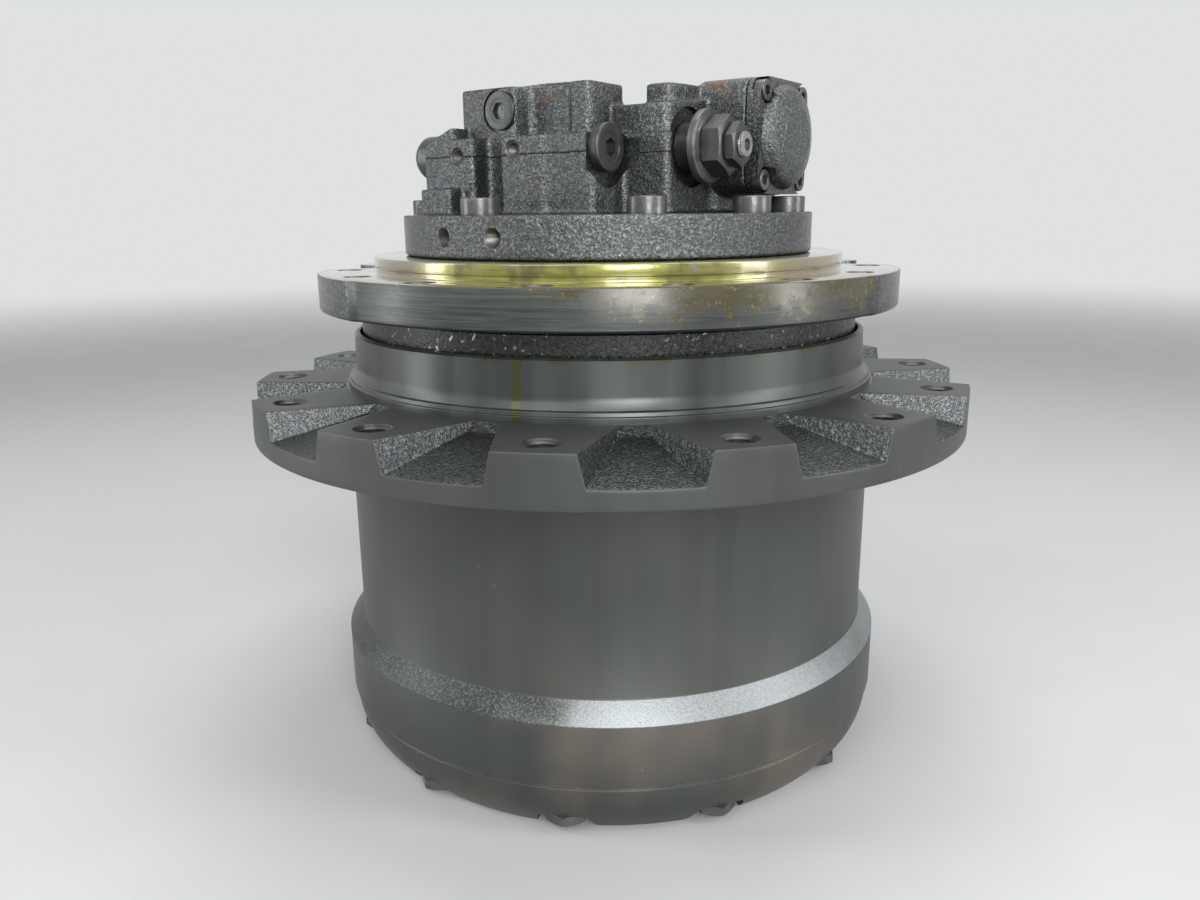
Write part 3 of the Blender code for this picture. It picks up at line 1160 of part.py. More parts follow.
def relief_valve():
    """Cartridge with a washer and hexagon, its lock nut, and its adjusting screw."""
    place = plug_axes()["relief_valve"]
    low = FIT_GAP
    high = FIT_GAP + RELIEF_WASHER_THICKNESS
    bm = bmesh.new()
    profile = [(0, -PLUG_SHANK_LENGTH), (PLUG_SHANK_RADIUS, -PLUG_SHANK_LENGTH)]
    profile += [(PLUG_SHANK_RADIUS, low), (RELIEF_WASHER_RADIUS, low), (RELIEF_WASHER_RADIUS, high)]
    profile.append((0, high))
    add_turned(bm, profile, BOLT_FACETS * 2, place)
    body = finish(make_object("relief_valve", bm), "black_steel")
    hexagon_end = high + RELIEF_HEX_LENGTH
    hexes = bmesh.new()
    add_prism(hexes, hexagon(RELIEF_HEX_FLATS), high - FIT_GAP, hexagon_end, place)
    add(body, hexes)
    screw_hole = seat_bore(RELIEF_STEM_RADIUS, HOLE_FACETS)
    well = bmesh.new()
    add_cylinder(well, screw_hole, high, hexagon_end + CUT_MARGIN, HOLE_FACETS, place)
    cut(body, well)

    nut = bmesh.new()
    nut_low = hexagon_end + FIT_GAP
    nut_high = nut_low + RELIEF_NUT_LENGTH
    hole = circle(screw_hole, HOLE_FACETS)
    add_prism(nut, hexagon(RELIEF_NUT_FLATS), nut_low, nut_high, place, holes=(hole,))
    finish(make_object("relief_lock_nut", nut), "plated_steel")

    stem = bmesh.new()
    stem_high = nut_high + RELIEF_STEM_LENGTH / 2
    stem_low = stem_high - RELIEF_STEM_LENGTH - RELIEF_NUT_LENGTH
    add_cylinder(stem, RELIEF_STEM_RADIUS, stem_low, stem_high, HOLE_FACETS, place)
    adjuster = finish(make_object("relief_adjuster", stem), "plated_steel")
    socket = bmesh.new()
    low = stem_high - SOCKET_DEPTH
    add_prism(socket, hexagon(RELIEF_STEM_SOCKET_FLATS), low, stem_high + CUT_MARGIN, place)
    cut(adjuster, socket)


def spool_caps():
    """Right cap with its four recessed screws, and the domed left cap."""
    place = block_axis(0, SPOOL_V, SPOOL_HEIGHT, "+u")
    low = RIGHT_FACE_U + FIT_GAP
    high = low + RIGHT_CAP_THICKNESS
    dome = high + RIGHT_CAP_DOME_HEIGHT
    bm = bmesh.new()
    profile = [(0, low), (RIGHT_CAP_RADIUS, low), (RIGHT_CAP_RADIUS, high)]
    profile += [(RIGHT_CAP_DOME_RADIUS, high), (RIGHT_CAP_DOME_TOP_RADIUS, dome), (0, dome)]
    add_turned(bm, profile, BORE_FACETS, place)
    cap = finish(make_object("right_spool_cap", bm), "coated_casting")
    holes = bmesh.new()
    block_holes = bmesh.new()
    for step, (across, up) in enumerate(((-1, -1), (1, -1), (1, 1), (-1, 1))):
        offset = Matrix.Translation((across * CAP_SCREW_SPACING / 2, up * CAP_SCREW_SPACING / 2, 0))
        axis = place @ offset
        seat = high - CAP_SCREW_HEAD_HEIGHT / 2
        hole = bore(CAP_SCREW_SHANK_RADIUS + FIT_GAP, HOLE_FACETS)
        head_hole = bore(CAP_SCREW_RADIUS + FIT_GAP, HOLE_FACETS)
        top = high + CUT_MARGIN
        add_step_hole(holes, hole, low - CUT_MARGIN, seat, head_hole, top, HOLE_FACETS, axis)
        end = RIGHT_FACE_U - CAP_SCREW_REACH
        add_cylinder(block_holes, hole, end - RUNNING_GAP, low, HOLE_FACETS, axis)
        screw = bmesh.new()
        top = seat + FIT_GAP + CAP_SCREW_HEAD_HEIGHT
        outline = [(0, end), (CAP_SCREW_SHANK_RADIUS, end), (CAP_SCREW_SHANK_RADIUS, seat + FIT_GAP)]
        outline += [(CAP_SCREW_RADIUS, seat + FIT_GAP), (CAP_SCREW_RADIUS, top), (0, top)]
        add_turned(screw, outline, HOLE_FACETS, axis)
        finish(make_object(f"cap_screw_{step + 1}", screw), "black_steel")
    cut(cap, holes)
    cut(bpy.data.objects["valve_block"], block_holes)

    place = plug_axes()["left_spool_cap"]
    bm = bmesh.new()
    profile = [(0, -PLUG_SHANK_LENGTH), (PLUG_SHANK_RADIUS, -PLUG_SHANK_LENGTH)]
    profile += [(PLUG_SHANK_RADIUS, FIT_GAP), (LEFT_CAP_RADIUS, FIT_GAP)]
    profile += [(LEFT_CAP_RADIUS, LEFT_CAP_SIDE_LENGTH), (LEFT_CAP_CROWN_RADIUS, LEFT_CAP_CROWN_LENGTH)]
    profile.append((0, LEFT_CAP_LENGTH))
    add_turned(bm, profile, BOLT_FACETS, place)
    finish(make_object("left_spool_cap", bm), "black_steel")


def counterbalance_spool():
    """Sliding spool with two grooves, in the block's long bore."""
    place = block_axis(0, SPOOL_V, SPOOL_HEIGHT, "+u")
    end = SPOOL_LENGTH / 2
    outer = end - SPOOL_LAND_WIDTH
    inner = outer - SPOOL_GROOVE_WIDTH
    waist = SPOOL_RADIUS - SPOOL_GROOVE_DEPTH
    half = [(inner, SPOOL_RADIUS), (inner, waist), (outer, waist), (outer, SPOOL_RADIUS), (end, SPOOL_RADIUS)]
    half.append((end, 0))
    profile = [(radius, -height) for height, radius in reversed(half)]
    profile += [(radius, height) for height, radius in half]
    centre = Matrix.Translation((0, 0, RIGHT_FACE_U - SPOOL_TRAVEL - RUNNING_GAP - SPOOL_LENGTH / 2))
    turned_piece("counterbalance_spool", profile, BOLT_FACETS, "bare_steel", place @ centre)


def block_bolts():
    """Socket head screws that hold the valve block on the motor housing."""
    seat = BLOCK_BASE - SPOTFACE_DEPTH + FIT_GAP
    top = seat + BLOCK_BOLT_HEAD_HEIGHT
    end = SPIGOT_TOP - BLOCK_BOLT_REACH
    for step, angle in enumerate(BLOCK_BOLT_ANGLES):
        place = at_radius(angle, BLOCK_BOLT_CIRCLE_RADIUS)
        bm = bmesh.new()
        profile = [(0, end), (M16_RADIUS, end), (M16_RADIUS, seat)]
        profile += [(BLOCK_BOLT_RADIUS, seat), (BLOCK_BOLT_RADIUS, top), (0, top)]
        add_turned(bm, profile, BOLT_FACETS, place)
        bolt = finish(make_object(f"block_bolt_{step + 1}", bm), "black_steel")
        socket = bmesh.new()
        add_prism(socket, hexagon(BLOCK_BOLT_SOCKET_FLATS), top - SOCKET_DEPTH, top + CUT_MARGIN, place)
        cut(bolt, socket)


def main():
    """Build the drive from the cover upwards."""
    for leftover in list(bpy.data.objects):
        bpy.data.objects.remove(leftover, do_unlink=True)
    end_cover()
    oil_plug("drain_plug", 0)
    oil_plug("fill_plug", 180)
    hub()
    ring_gear()
    first_stage()
    second_stage()
    bearing_nut()
    hub_bearing("lower", LOWER_BEARING_BOTTOM)
    hub_bearing("upper", UPPER_BEARING_BOTTOM)
    floating_seal()
    motor_housing()
    rotating_group()
    swash_group()
    parking_brake()
    valve_block()
    axes = plug_axes()
    screw_plug("front_plug", axes["front_plug"], FRONT_PLUG_RADIUS, PLUG_PROUD, PLUG_SOCKET_FLATS)
    screw_plug("upper_plug", axes["upper_plug"], UPPER_PLUG_RADIUS, PLUG_PROUD, PLUG_SOCKET_FLATS)
    relief_valve()
    spool_caps()
    counterbalance_spool()
    block_bolts()


main()
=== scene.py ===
"""Looks of an excavator final drive, built round its CAD frame.

Metres, +Z up, on the end cover. Angles round the axis are degrees from the front (-Y)
towards +X. The valve block has its own axes, u and v, turned from X and Y. Each operator
makes one piece, or one group of like pieces.
"""
import json
import math

import bmesh
import bpy
from mathutils import Matrix, Vector


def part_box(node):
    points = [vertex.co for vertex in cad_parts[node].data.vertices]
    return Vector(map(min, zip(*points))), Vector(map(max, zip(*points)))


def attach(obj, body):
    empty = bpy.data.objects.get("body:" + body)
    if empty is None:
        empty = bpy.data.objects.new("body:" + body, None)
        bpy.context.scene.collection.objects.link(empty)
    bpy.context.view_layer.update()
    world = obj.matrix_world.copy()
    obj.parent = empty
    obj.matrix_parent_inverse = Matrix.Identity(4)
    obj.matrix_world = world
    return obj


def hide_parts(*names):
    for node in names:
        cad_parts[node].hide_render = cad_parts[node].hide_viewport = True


bl_info = {
    "name": "Excavator Final Drive",
    "version": (1, 0, 0),
    "blender": (4, 5, 0),
    "location": "View3D > Sidebar > Final Drive",
    "description": "Detailed surfaces, studio and camera for an excavator final drive",
    "category": "Add Mesh",
}

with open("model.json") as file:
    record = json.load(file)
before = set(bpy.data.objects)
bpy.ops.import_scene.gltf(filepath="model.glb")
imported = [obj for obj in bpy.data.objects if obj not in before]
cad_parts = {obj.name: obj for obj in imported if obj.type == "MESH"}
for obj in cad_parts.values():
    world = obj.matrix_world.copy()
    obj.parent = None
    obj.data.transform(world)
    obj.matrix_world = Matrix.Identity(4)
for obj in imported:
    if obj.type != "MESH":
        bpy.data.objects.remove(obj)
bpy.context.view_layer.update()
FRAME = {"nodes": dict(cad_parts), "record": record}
COVER_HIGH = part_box("end_cover")[1]
HUB_LOW, HUB_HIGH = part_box("hub")
HOUSING_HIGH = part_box("motor_housing")[1]
BLOCK_LOW, BLOCK_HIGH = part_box("valve_block")
PLUG_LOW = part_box("drain_plug")[0]
BOLT_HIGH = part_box("block_bolt_1")[1]
GAP = 0.0003
OUTSIDE = 0.004
SHARP_ANGLE = math.radians(38)

# Counts, angles and places that the frame fixes
SPROCKET_HOLES = 14
FIRST_SPROCKET_HOLE = 17.04
COVER_BOLTS = 12
FIRST_COVER_BOLT = -9.0
MOUNT_HOLES = 15
FIRST_MOUNT_HOLE = 12.0
BLOCK_BOLT_ANGLES = (-90.0, -38.0, 10.5, 45.0, 72.0, 120.0, 170.0, -135.0)
BLOCK_TURN = -35.0
BLOCK_AXES = Matrix.Rotation(math.radians(BLOCK_TURN), 4, "Z")
BLOCK_TOP = 0.376
OIL_PLUGS = (("drain_plug", 0), ("fill_plug", 180))
OIL_PLUG_CIRCLE = 0.110
OIL_PLUG_RADIUS = 0.017

# Axes of the block's fittings: u, v, height and direction
RELIEF_SEAT = (0.090, -0.0355, 0.416, "+u")
UPPER_PLUG_SEAT = (-0.023, -0.088, 0.441, "-v")
FRONT_PLUG_SEAT = (0.057, -0.0800, 0.4155, "+u")
FRONT_SLOT_SEAT = (0.057, -0.0808, 0.4155, "+u")
LEFT_CAP_SEAT = (-0.078, -0.078, 0.414, "-u")
RIGHT_CAP_SEAT = (0.0, 0.022, 0.423, "+u")

# The mount's outline, in degrees
FRONT_END_RIGHT = 52.0
FRONT_END_LEFT = 49.0
LAST_EAR_HOLE = 84.0
EAR_MIDDLE = 96.0
EAR_STEP = 0.6
NOTCH_FALL = 1.7

# Name, place, aim, size and power of each lamp
LAMPS = (
    ("key", (-0.9, -1.5, 1.7), (0, 0, 0.25), (1.2, 1.2), 12.0),
    ("right_strip", (1.7, -0.7, 0.9), (0, 0, 0.25), (0.5, 1.6), 18.0),
    ("left_strip", (-1.8, -0.2, 0.7), (0, 0, 0.22), (0.4, 1.5), 12.0),
    ("front", (0.30, -1.9, 1.0), (0, 0, 0.38), (0.7, 1.2), 34.0),
    ("top", (0.2, 0.3, 2.2), (0, 0, 0.3), (1.4, 1.4), 22.0),
)
CAMERA_PLACE = (0.0, -0.70536, 0.3784)
CAMERA_TURNS = (-14.212, -0.579, -0.574)


def length(name, description, default):
    """Length property in metres."""
    return bpy.props.FloatProperty(
        name=name, description=description, default=default, min=0.0, unit="LENGTH", precision=4
    )


def colour(name, description, default):
    """Colour property."""
    return bpy.props.FloatVectorProperty(
        name=name, description=description, default=default, size=3, min=0.0, max=1.0, subtype="COLOR"
    )


def share(name, description, default):
    """Property between none and all."""
    return bpy.props.FloatProperty(
        name=name, description=description, default=default, min=0.0, max=1.0, subtype="FACTOR"
    )


class CoverSizes(bpy.types.PropertyGroup):
    """Sizes of the end cover."""

    foot_radius: length("Foot radius", "Radius of the face that it stands on", 0.181)
    recess_radius: length("Recess radius", "Radius of the shallow recess in the foot", 0.150)
    recess_depth: length("Recess depth", "Depth of that recess", 0.009)
    pocket_radius: length("Pocket radius", "Radius of the pocket round each bolt", 0.019)
    pocket_depth: length("Pocket depth", "Depth of that pocket", 0.014)
    bolt_circle: length("Bolt circle", "Radius of the circle of bolts", 0.182)
    bolt_flats: length("Bolt flats", "Width across flats of the bolt heads", 0.024)
    head_height: length("Head height", "Height of the bolt heads", 0.0075)


class HubSizes(bpy.types.PropertyGroup):
    """Sizes of the turning hub."""

    rim_radius: length("Rim radius", "Radius of the gear case at the cover", 0.2007)
    rim_top: length("Rim top", "Height where the cone starts", 0.0810)
    drum_radius: length("Drum radius", "Pilot radius of the sprocket", 0.190)
    drum_bottom: length("Drum bottom", "Height where the cone ends", 0.0926)
    flange_bottom: length("Flange underside", "Height of the sprocket's seat", 0.2310)
    flange_top: length("Flange top", "Height of the lands", 0.2620)
    hole_circle: length("Hole circle", "Radius of the circle of sprocket holes", 0.233)
    pocket_start: length("Pocket start", "Radius where each pocket starts", 0.1905)
    pocket_floor: length("Pocket floor start", "Radius where its floor starts", 0.197)
    pocket_floor_depth: length("Pocket floor depth", "Depth of the floor there", 0.0055)
    pocket_rim_depth: length("Pocket rim depth", "Depth of the floor at the rim", 0.0190)
    pocket_inner_width: length("Pocket inner width", "Width at the start", 0.017)
    pocket_rim_width: length("Pocket rim width", "Width at the rim", 0.071)
    collar_radius: length("Collar radius", "Radius of the seal collar", 0.1826)
    collar_foot: length("Collar foot", "Radius of the collar's foot", 0.189)
    collar_bore: length("Collar bore", "Inner radius at the collar's edge", 0.179)


class HousingSizes(bpy.types.PropertyGroup):
    """Sizes of the fixed motor housing."""

    neck_radius: length("Neck radius", "Radius between collar and mount", 0.177)
    mount_bottom: length("Mount underside", "Height of the mount's underside", 0.3142)
    mount_top: length("Mount top", "Height of the mount's bolting face", 0.3385)
    mount_radius: length("Mount radius", "Radius of the machined front and back", 0.2025)
    ear_radius: length("Ear radius", "Radius of the cast ears", 0.2045)
    notch_radius: length("Notch radius", "Radius of the notches behind the ears", 0.171)
    hole_circle: length("Hole circle", "Radius of the circle of frame holes", 0.185)
    lobe_radius: length("Lobe radius", "Radius of the ear's end round its hole", 0.0195)
    spigot_radius: length("Spigot radius", "Radius that centres the frame plate", 0.1662)


class BlockSizes(bpy.types.PropertyGroup):
    """Sizes of the valve block and its fittings."""

    flange_radius: length("Flange radius", "Radius of the round foot", 0.1444)
    voxel: length("Casting grain", "Voxel of the casting's rounded form", 0.0012)
    bolt_circle: length("Bolt circle", "Radius of the circle of block bolts", 0.128)
    bolt_radius: length("Bolt head radius", "Radius of the socket heads", 0.012)
    spotface_radius: length("Spotface radius", "Radius of the seats under the heads", 0.015)
    front_recess: length("Front recess", "Radius of the slotted recess round the front plug", 0.0178)
    front_slot: length("Front slot", "Length by which that recess runs down", 0.0063)
    relief_recess: length("Relief recess", "Radius of the recess round the relief valve", 0.0245)


class DriveColours(bpy.types.PropertyGroup):
    """Colours of the finishes."""

    coating: colour("Coating", "Dark coat on machined iron", (0.044, 0.049, 0.046))
    casting: colour("Casting", "Dark coat on rough iron", (0.108, 0.115, 0.117))
    band: colour("Band", "Bright grainy cone under the drum", (0.30, 0.32, 0.325))
    steel: colour("Steel", "Bare machined steel", (0.42, 0.42, 0.41))
    black: colour("Black steel", "Oxide of plugs and screws", (0.060, 0.062, 0.063))
    plated: colour("Plated steel", "Plating of nut and adjuster", (0.30, 0.30, 0.29))
    oil: colour("Oil", "Yellow rust-preventing oil", (0.30, 0.29, 0.055))
    stain: colour("Stain", "Olive-brown dried oil", (0.048, 0.038, 0.012))
    rust: colour("Rust", "Thin rust on edges", (0.16, 0.075, 0.035))
    bronze: colour("Bronze", "Bearing bronze", (0.50, 0.34, 0.16))
    rubber: colour("Rubber", "Seal rubber", (0.016, 0.016, 0.016))


class StudioSettings(bpy.types.PropertyGroup):
    """Floor, light and camera."""

    floor: colour("Floor", "Pale floor and background", (0.74, 0.75, 0.76))
    fill: share("Fill", "Even light from all round", 0.36)
    lens: bpy.props.FloatProperty(
        name="Lens", description="Focal length", default=28.44, min=1.0, unit="CAMERA"
    )


def facing(angle):
    """Turn the local X axis to an angle from the front, round Z."""
    return Matrix.Rotation(math.radians(angle - 90), 4, "Z")


def at_radius(angle, radius, height=0.0):
    """Place a local Z axis at an angle, a radius and a height."""
    return facing(angle) @ Matrix.Translation((radius, 0, height))


def even_places(count, first, radius, height=0.0):
    """Places at even angles round the axis."""
    return [at_radius(first + 360 / count * index, radius, height) for index in range(count)]


def block_axis(u, v, height, direction):
    """Place a local Z axis in the valve block, along one of its directions."""
    turns = {"+u": (90, "Y"), "-u": (-90, "Y"), "-v": (90, "X"), "+v": (-90, "X")}
    degrees, axis = turns[direction]
    point = Matrix.Translation((u, v, height))
    return BLOCK_AXES @ point @ Matrix.Rotation(math.radians(degrees), 4, axis)


def circle(radius, count):
    """Points of a circle."""
    turn = 2 * math.pi / count
    return [(radius * math.cos(turn * i), radius * math.sin(turn * i)) for i in range(count)]


def hexagon(flats):
    """Corners of a hexagon of a width across flats."""
    return circle(flats / math.sqrt(3), 6)


def square(half):
    """Corners of a square of half a width."""
    return [(-half, -half), (half, -half), (half, half), (-half, half)]


def rounded(path, steps, closed=False):
    """Round the corners of a path of (x, y, radius), each into steps + 1 points."""
    count = len(path)
    points = []
    for index, (x, y, radius) in enumerate(path):
        at_end = not closed and index in (0, count - 1)
        if at_end or radius <= 0:
            points.append((x, y))
            continue
        corner = Vector((x, y))
        back = Vector(path[index - 1][:2]) - corner
        ahead = Vector(path[(index + 1) % count][:2]) - corner
        if min(back.length, ahead.length) < 1e-7:
            points += [(x, y)] * (steps + 1)
            continue
        half = back.angle(ahead) / 2
        reach = min(radius / math.tan(half), 0.45 * back.length, 0.45 * ahead.length)
        start = corner + back.normalized() * reach
        end = corner + ahead.normalized() * reach
        for step in range(steps + 1):
            t = step / steps
            bow = start * (1 - t) ** 2 + corner * 2 * t * (1 - t) + end * t * t
            points.append((bow.x, bow.y))
    return points


def rounded_outline(corners, radius, steps=4):
    """Closed outline whose corners share a radius."""
    return rounded([(x, y, radius) for x, y in corners], steps, closed=True)


def new_piece(name, bm, finishes):
    """Object with its finishes, from a bmesh."""
    bmesh.ops.recalc_face_normals(bm, faces=bm.faces)
    mesh = bpy.data.meshes.new(name)
    bm.to_mesh(mesh)
    bm.free()
    for finish in finishes:
        mesh.materials.append(finish)
    mesh.shade_smooth()
    mesh.set_sharp_from_angle(angle=SHARP_ANGLE)
    piece = bpy.data.objects.new(name, mesh)
    bpy.context.scene.collection.objects.link(piece)
    return piece


def add_rings(bm, rows, slots=None):
    """Skin equal rings of points: capped at both ends or, with slots, round again."""
    rings = [[bm.verts.new(point) for point in row] for row in rows]
    following = rings[1:] + rings[:1] if slots else rings[1:]
    for index, (low, high) in enumerate(zip(rings, following)):
        for column in range(len(low)):
            after = (column + 1) % len(low)
            face = bm.faces.new((low[column], low[after], high[after], high[column]))
            face.material_index = slots[index] if slots else 0
    if not slots:
        bm.faces.new(rings[0])
        bm.faces.new(rings[-1])


def add_lathe(bm, path, count, place=Matrix.Identity(4), steps=0):
    """Turn (radius, height) points about Z or, with steps, a path with corner radii."""
    rows = []
    for radius, height in rounded(path, steps) if steps else path:
        rows.append([place @ Vector((x, y, height)) for x, y in circle(radius, count)])
    add_rings(bm, rows)


def add_prism(bm, outline, low, high, place=Matrix.Identity(4)):
    """Raise an outline from one height to another."""
    add_rings(bm, [[place @ Vector((x, y, height)) for x, y in outline] for height in (low, high)])


def add_thread(bm, radius, pitch, low, high, place, mouth=0.0010):
    """Cutter for a threaded hole, open at the top end and chamfered at its mouth."""
    root = radius - 0.6 * pitch
    profile = [(root, low)]
    level = low + pitch / 2
    deep = True
    while level < high - mouth:
        profile.append((radius if deep else root, level))
        level += pitch / 2
        deep = not deep
    profile += [(radius, high - mouth), (radius + mouth, high), (radius + mouth, high + OUTSIDE)]
    add_lathe(bm, profile, 36, place)


def turned(name, path, count, finish, place=Matrix.Identity(4), steps=0):
    """Piece turned about an axis."""
    bm = bmesh.new()
    add_lathe(bm, path, count, place, steps)
    return new_piece(name, bm, [finish])


def raised(name, outline, low, high, finish, place=Matrix.Identity(4)):
    """Piece raised from an outline."""
    bm = bmesh.new()
    add_prism(bm, outline, low, high, place)
    return new_piece(name, bm, [finish])


def apply_change(piece, other, operation):
    """Cut another object from a piece, add it or keep what they share, and delete the other."""
    change = piece.modifiers.new(operation.title(), "BOOLEAN")
    change.operation = operation
    change.solver = "EXACT"
    change.material_mode = "TRANSFER"
    change.object = other
    settle(piece)
    bpy.data.objects.remove(other, do_unlink=True)


def settle(piece):
    """Apply a piece's modifiers to its mesh."""
    graph = bpy.context.evaluated_depsgraph_get()
    mesh = bpy.data.meshes.new_from_object(piece.evaluated_get(graph))
    piece.modifiers.clear()
    old = piece.data
    piece.data = mesh
    mesh.name = old.name
    bpy.data.meshes.remove(old)
    mesh.shade_smooth()
    mesh.set_sharp_from_angle(angle=SHARP_ANGLE)
    if not mesh.polygons:
        raise RuntimeError(f"{piece.name} lost its faces in a Boolean")


def cut(piece, bm, *finishes):
    """Cut the bodies in a bmesh from a piece, leaving their finishes on the cut."""
    cutter = new_piece(piece.name + "_cutter", bm, finishes or piece.data.materials)
    apply_change(piece, cutter, "DIFFERENCE")


def sink_socket(piece, flats, low, high, place=Matrix.Identity(4)):
    """Cut a hexagon socket."""
    bm = bmesh.new()
    add_prism(bm, hexagon(flats), low, high, place)
    cut(piece, bm)


def hex_head(name, flats, height, finish, place, washer=0.0):
    """Hexagon head along +Z from its place, with chamfered corners and a washer face."""
    head = raised(name, hexagon(flats), washer - 0.001, height, finish)
    corner = flats / math.sqrt(3)
    path = [(flats * 0.47, -0.001), (flats * 0.47, washer * 0.5), (corner * 1.02, washer * 0.5 + 0.001),
            (corner * 1.02, height - corner * 0.11), (flats * 0.47, height - 0.0002), (flats * 0.45, height)]
    apply_change(head, turned(name + "_form", path, 60, finish), "INTERSECT")
    head.data.transform(place)
    return head


def socket_screw(name, radius, height, socket, depth, finish, place):
    """Socket head along +Z from its place, with a chamfered edge and a hexagon socket."""
    path = [(0.001, 0.0, 0), (radius, 0.0, 0.0004), (radius, height, radius * 0.09),
            (radius * 0.62, height, 0), (radius * 0.60, height - 0.0003, 0), (0.001, height - 0.0003, 0)]
    head = turned(name, path, 64, finish, steps=4)
    sink_socket(head, socket, height - depth, height + OUTSIDE)
    head.data.transform(place)
    return head


def dress(piece, body, slot, *nodes):
    """Let a piece ride on a body and stand for its CAD nodes."""
    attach(piece, body)
    if nodes:
        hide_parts(*nodes)


class Finish:
    """Node tree of one finish."""

    def __init__(self, name, roughness=0.4, metallic=0.0, coat=0.0, coat_roughness=0.1):
        self.material = bpy.data.materials.new(name)
        self.material["drive_finish"] = name
        self.material.use_nodes = True
        self.tree = self.material.node_tree
        self.shader = self.tree.nodes["Principled BSDF"]
        self.shader.inputs["Roughness"].default_value = roughness
        self.shader.inputs["Metallic"].default_value = metallic
        self.shader.inputs["Coat Weight"].default_value = coat
        self.shader.inputs["Coat Roughness"].default_value = coat_roughness
        self.place = self.node("ShaderNodeTexCoord", "Object")

    def node(self, kind, output, settings=None, **values):
        """Add a node, fill its inputs by name, or by number as i0, and give back one output."""
        made = self.tree.nodes.new(kind)
        for key, value in (settings or {}).items():
            setattr(made, key, value)
        for key, value in values.items():
            numbered = key[0] == "i" and key[1:].isdigit()
            socket = made.inputs[int(key[1:]) if numbered else key]
            if isinstance(value, bpy.types.NodeSocket):
                self.tree.links.new(value, socket)
            else:
                socket.default_value = value
        return made.outputs[output]

    def math(self, operation, first, second=0.0, third=0.0):
        """One arithmetic step."""
        return self.node("ShaderNodeMath", 0, {"operation": operation}, i0=first, i1=second, i2=third)

    def times(self, first, second):
        """Product."""
        return self.math("MULTIPLY", first, second)

    def plus(self, first, second):
        """Sum."""
        return self.math("ADD", first, second)

    def away(self, first, second):
        """Distance between two values."""
        return self.math("ABSOLUTE", self.math("SUBTRACT", first, second))

    def along(self, index):
        """Coordinate along X, Y or Z."""
        split = self.tree.nodes.new("ShaderNodeSeparateXYZ")
        self.tree.links.new(self.place, split.inputs[0])
        return split.outputs[index]

    def noise(self, scale, detail=4.0, rough=0.55, where=None):
        """Noise between 0 and 1."""
        where = where or self.place
        return self.node("ShaderNodeTexNoise", 0, Vector=where, Scale=scale, Detail=detail, Roughness=rough)

    def ring_noise(self, around, out, detail, rough):
        """Noise in coordinates round the axis, out from it and up it, for marks of turning."""
        x, y, z = (self.along(index) for index in range(3))
        radius = self.math("SQRT", self.plus(self.times(x, x), self.times(y, y)))
        turn = self.times(self.math("ARCTAN2", y, x), around)
        where = self.node("ShaderNodeCombineXYZ", 0, X=turn, Y=self.times(radius, out), Z=self.times(z, out))
        return self.noise(1.0, detail, rough, where)

    def specks(self, scale, edges, patches, limits, detail):
        """Dots at scattered points, only where a wider noise is high."""
        points = self.node("ShaderNodeTexVoronoi", 0, Vector=self.place, Scale=scale)
        return self.times(self.between(points, *edges), self.between(self.noise(patches, detail), *limits))

    def between(self, value, low, high, start=0.0, end=1.0):
        """Clamped smooth ramp of a value from start to end."""
        settings = {"interpolation_type": "SMOOTHSTEP", "clamp": True}
        return self.node("ShaderNodeMapRange", 0, settings, i0=value, i1=low, i2=high, i3=start, i4=end)

    def mix(self, amount, first, second):
        """Blend of two colours."""
        pair = [c if isinstance(c, bpy.types.NodeSocket) else (*c, 1.0) for c in (first, second)]
        return self.node("ShaderNodeMix", 2, {"data_type": "RGBA"}, i0=amount, i6=pair[0], i7=pair[1])

    def tones(self, value, low, high, base, dark, light):
        """Darker to lighter tone of a colour, as a value rises."""
        return self.mix(self.between(value, low, high), tint(base, dark), tint(base, light))

    def bump(self, height, strength, distance, under=None):
        """Normal raised by a height."""
        values = {"Height": height, "Strength": strength, "Distance": distance}
        if under is not None:
            values["Normal"] = under
        return self.node("ShaderNodeBump", 0, **values)

    def done(self, base, roughness=None, normal=None, metallic=None):
        """Connect the shader and give back the material."""
        for key, value in (("Base Color", base), ("Roughness", roughness), ("Normal", normal),
                           ("Metallic", metallic)):
            if value is not None:
                self.tree.links.new(value, self.shader.inputs[key])
        return self.material


def tint(colour_value, factor):
    """Lighter or darker copy of a colour."""
    return tuple(min(1.0, channel * factor) for channel in colour_value)


def coated_machined(name, colours, warm=0.0):
    """Dark semi-gloss coat on turned iron: faint lines, clouds, dust and small pits."""
    f = Finish(name, metallic=0.35)
    clouds = f.noise(7.0, 3.0)
    streaks = f.ring_noise(16.0, 3.0, 4.0, 0.5)
    lines = f.ring_noise(2.0, 900.0, 3.0, 0.7)
    tone = f.math("MULTIPLY_ADD", streaks, 0.4, f.times(clouds, 0.6))
    base = f.tones(tone, 0.3, 0.7, colours.coating, 0.84, 1.16)
    warmth = f.between(f.ring_noise(2.6, 9.0, 3.0, 0.5), 0.42, 0.74, 0.0, 0.12 + warm)
    base = f.mix(warmth, base, (0.15, 0.115, 0.090))
    dust = f.specks(95.0, (0.055, 0.03), 30.0, (0.50, 0.58), 2.0)
    base = f.mix(f.times(dust, 0.6), base, (0.34, 0.35, 0.34))
    rough = f.plus(f.between(tone, 0.25, 0.75, 0.40, 0.48), f.times(dust, 0.3))
    pits = f.specks(140.0, (0.12, 0.05), 45.0, (0.58, 0.64), 1.0)
    fine = f.math("SUBTRACT", f.noise(1500.0, 3.0), pits)
    normal = f.bump(fine, 0.22, 0.00012)
    normal = f.bump(lines, 0.14, 0.00010, normal)
    return f.done(base, rough, normal)


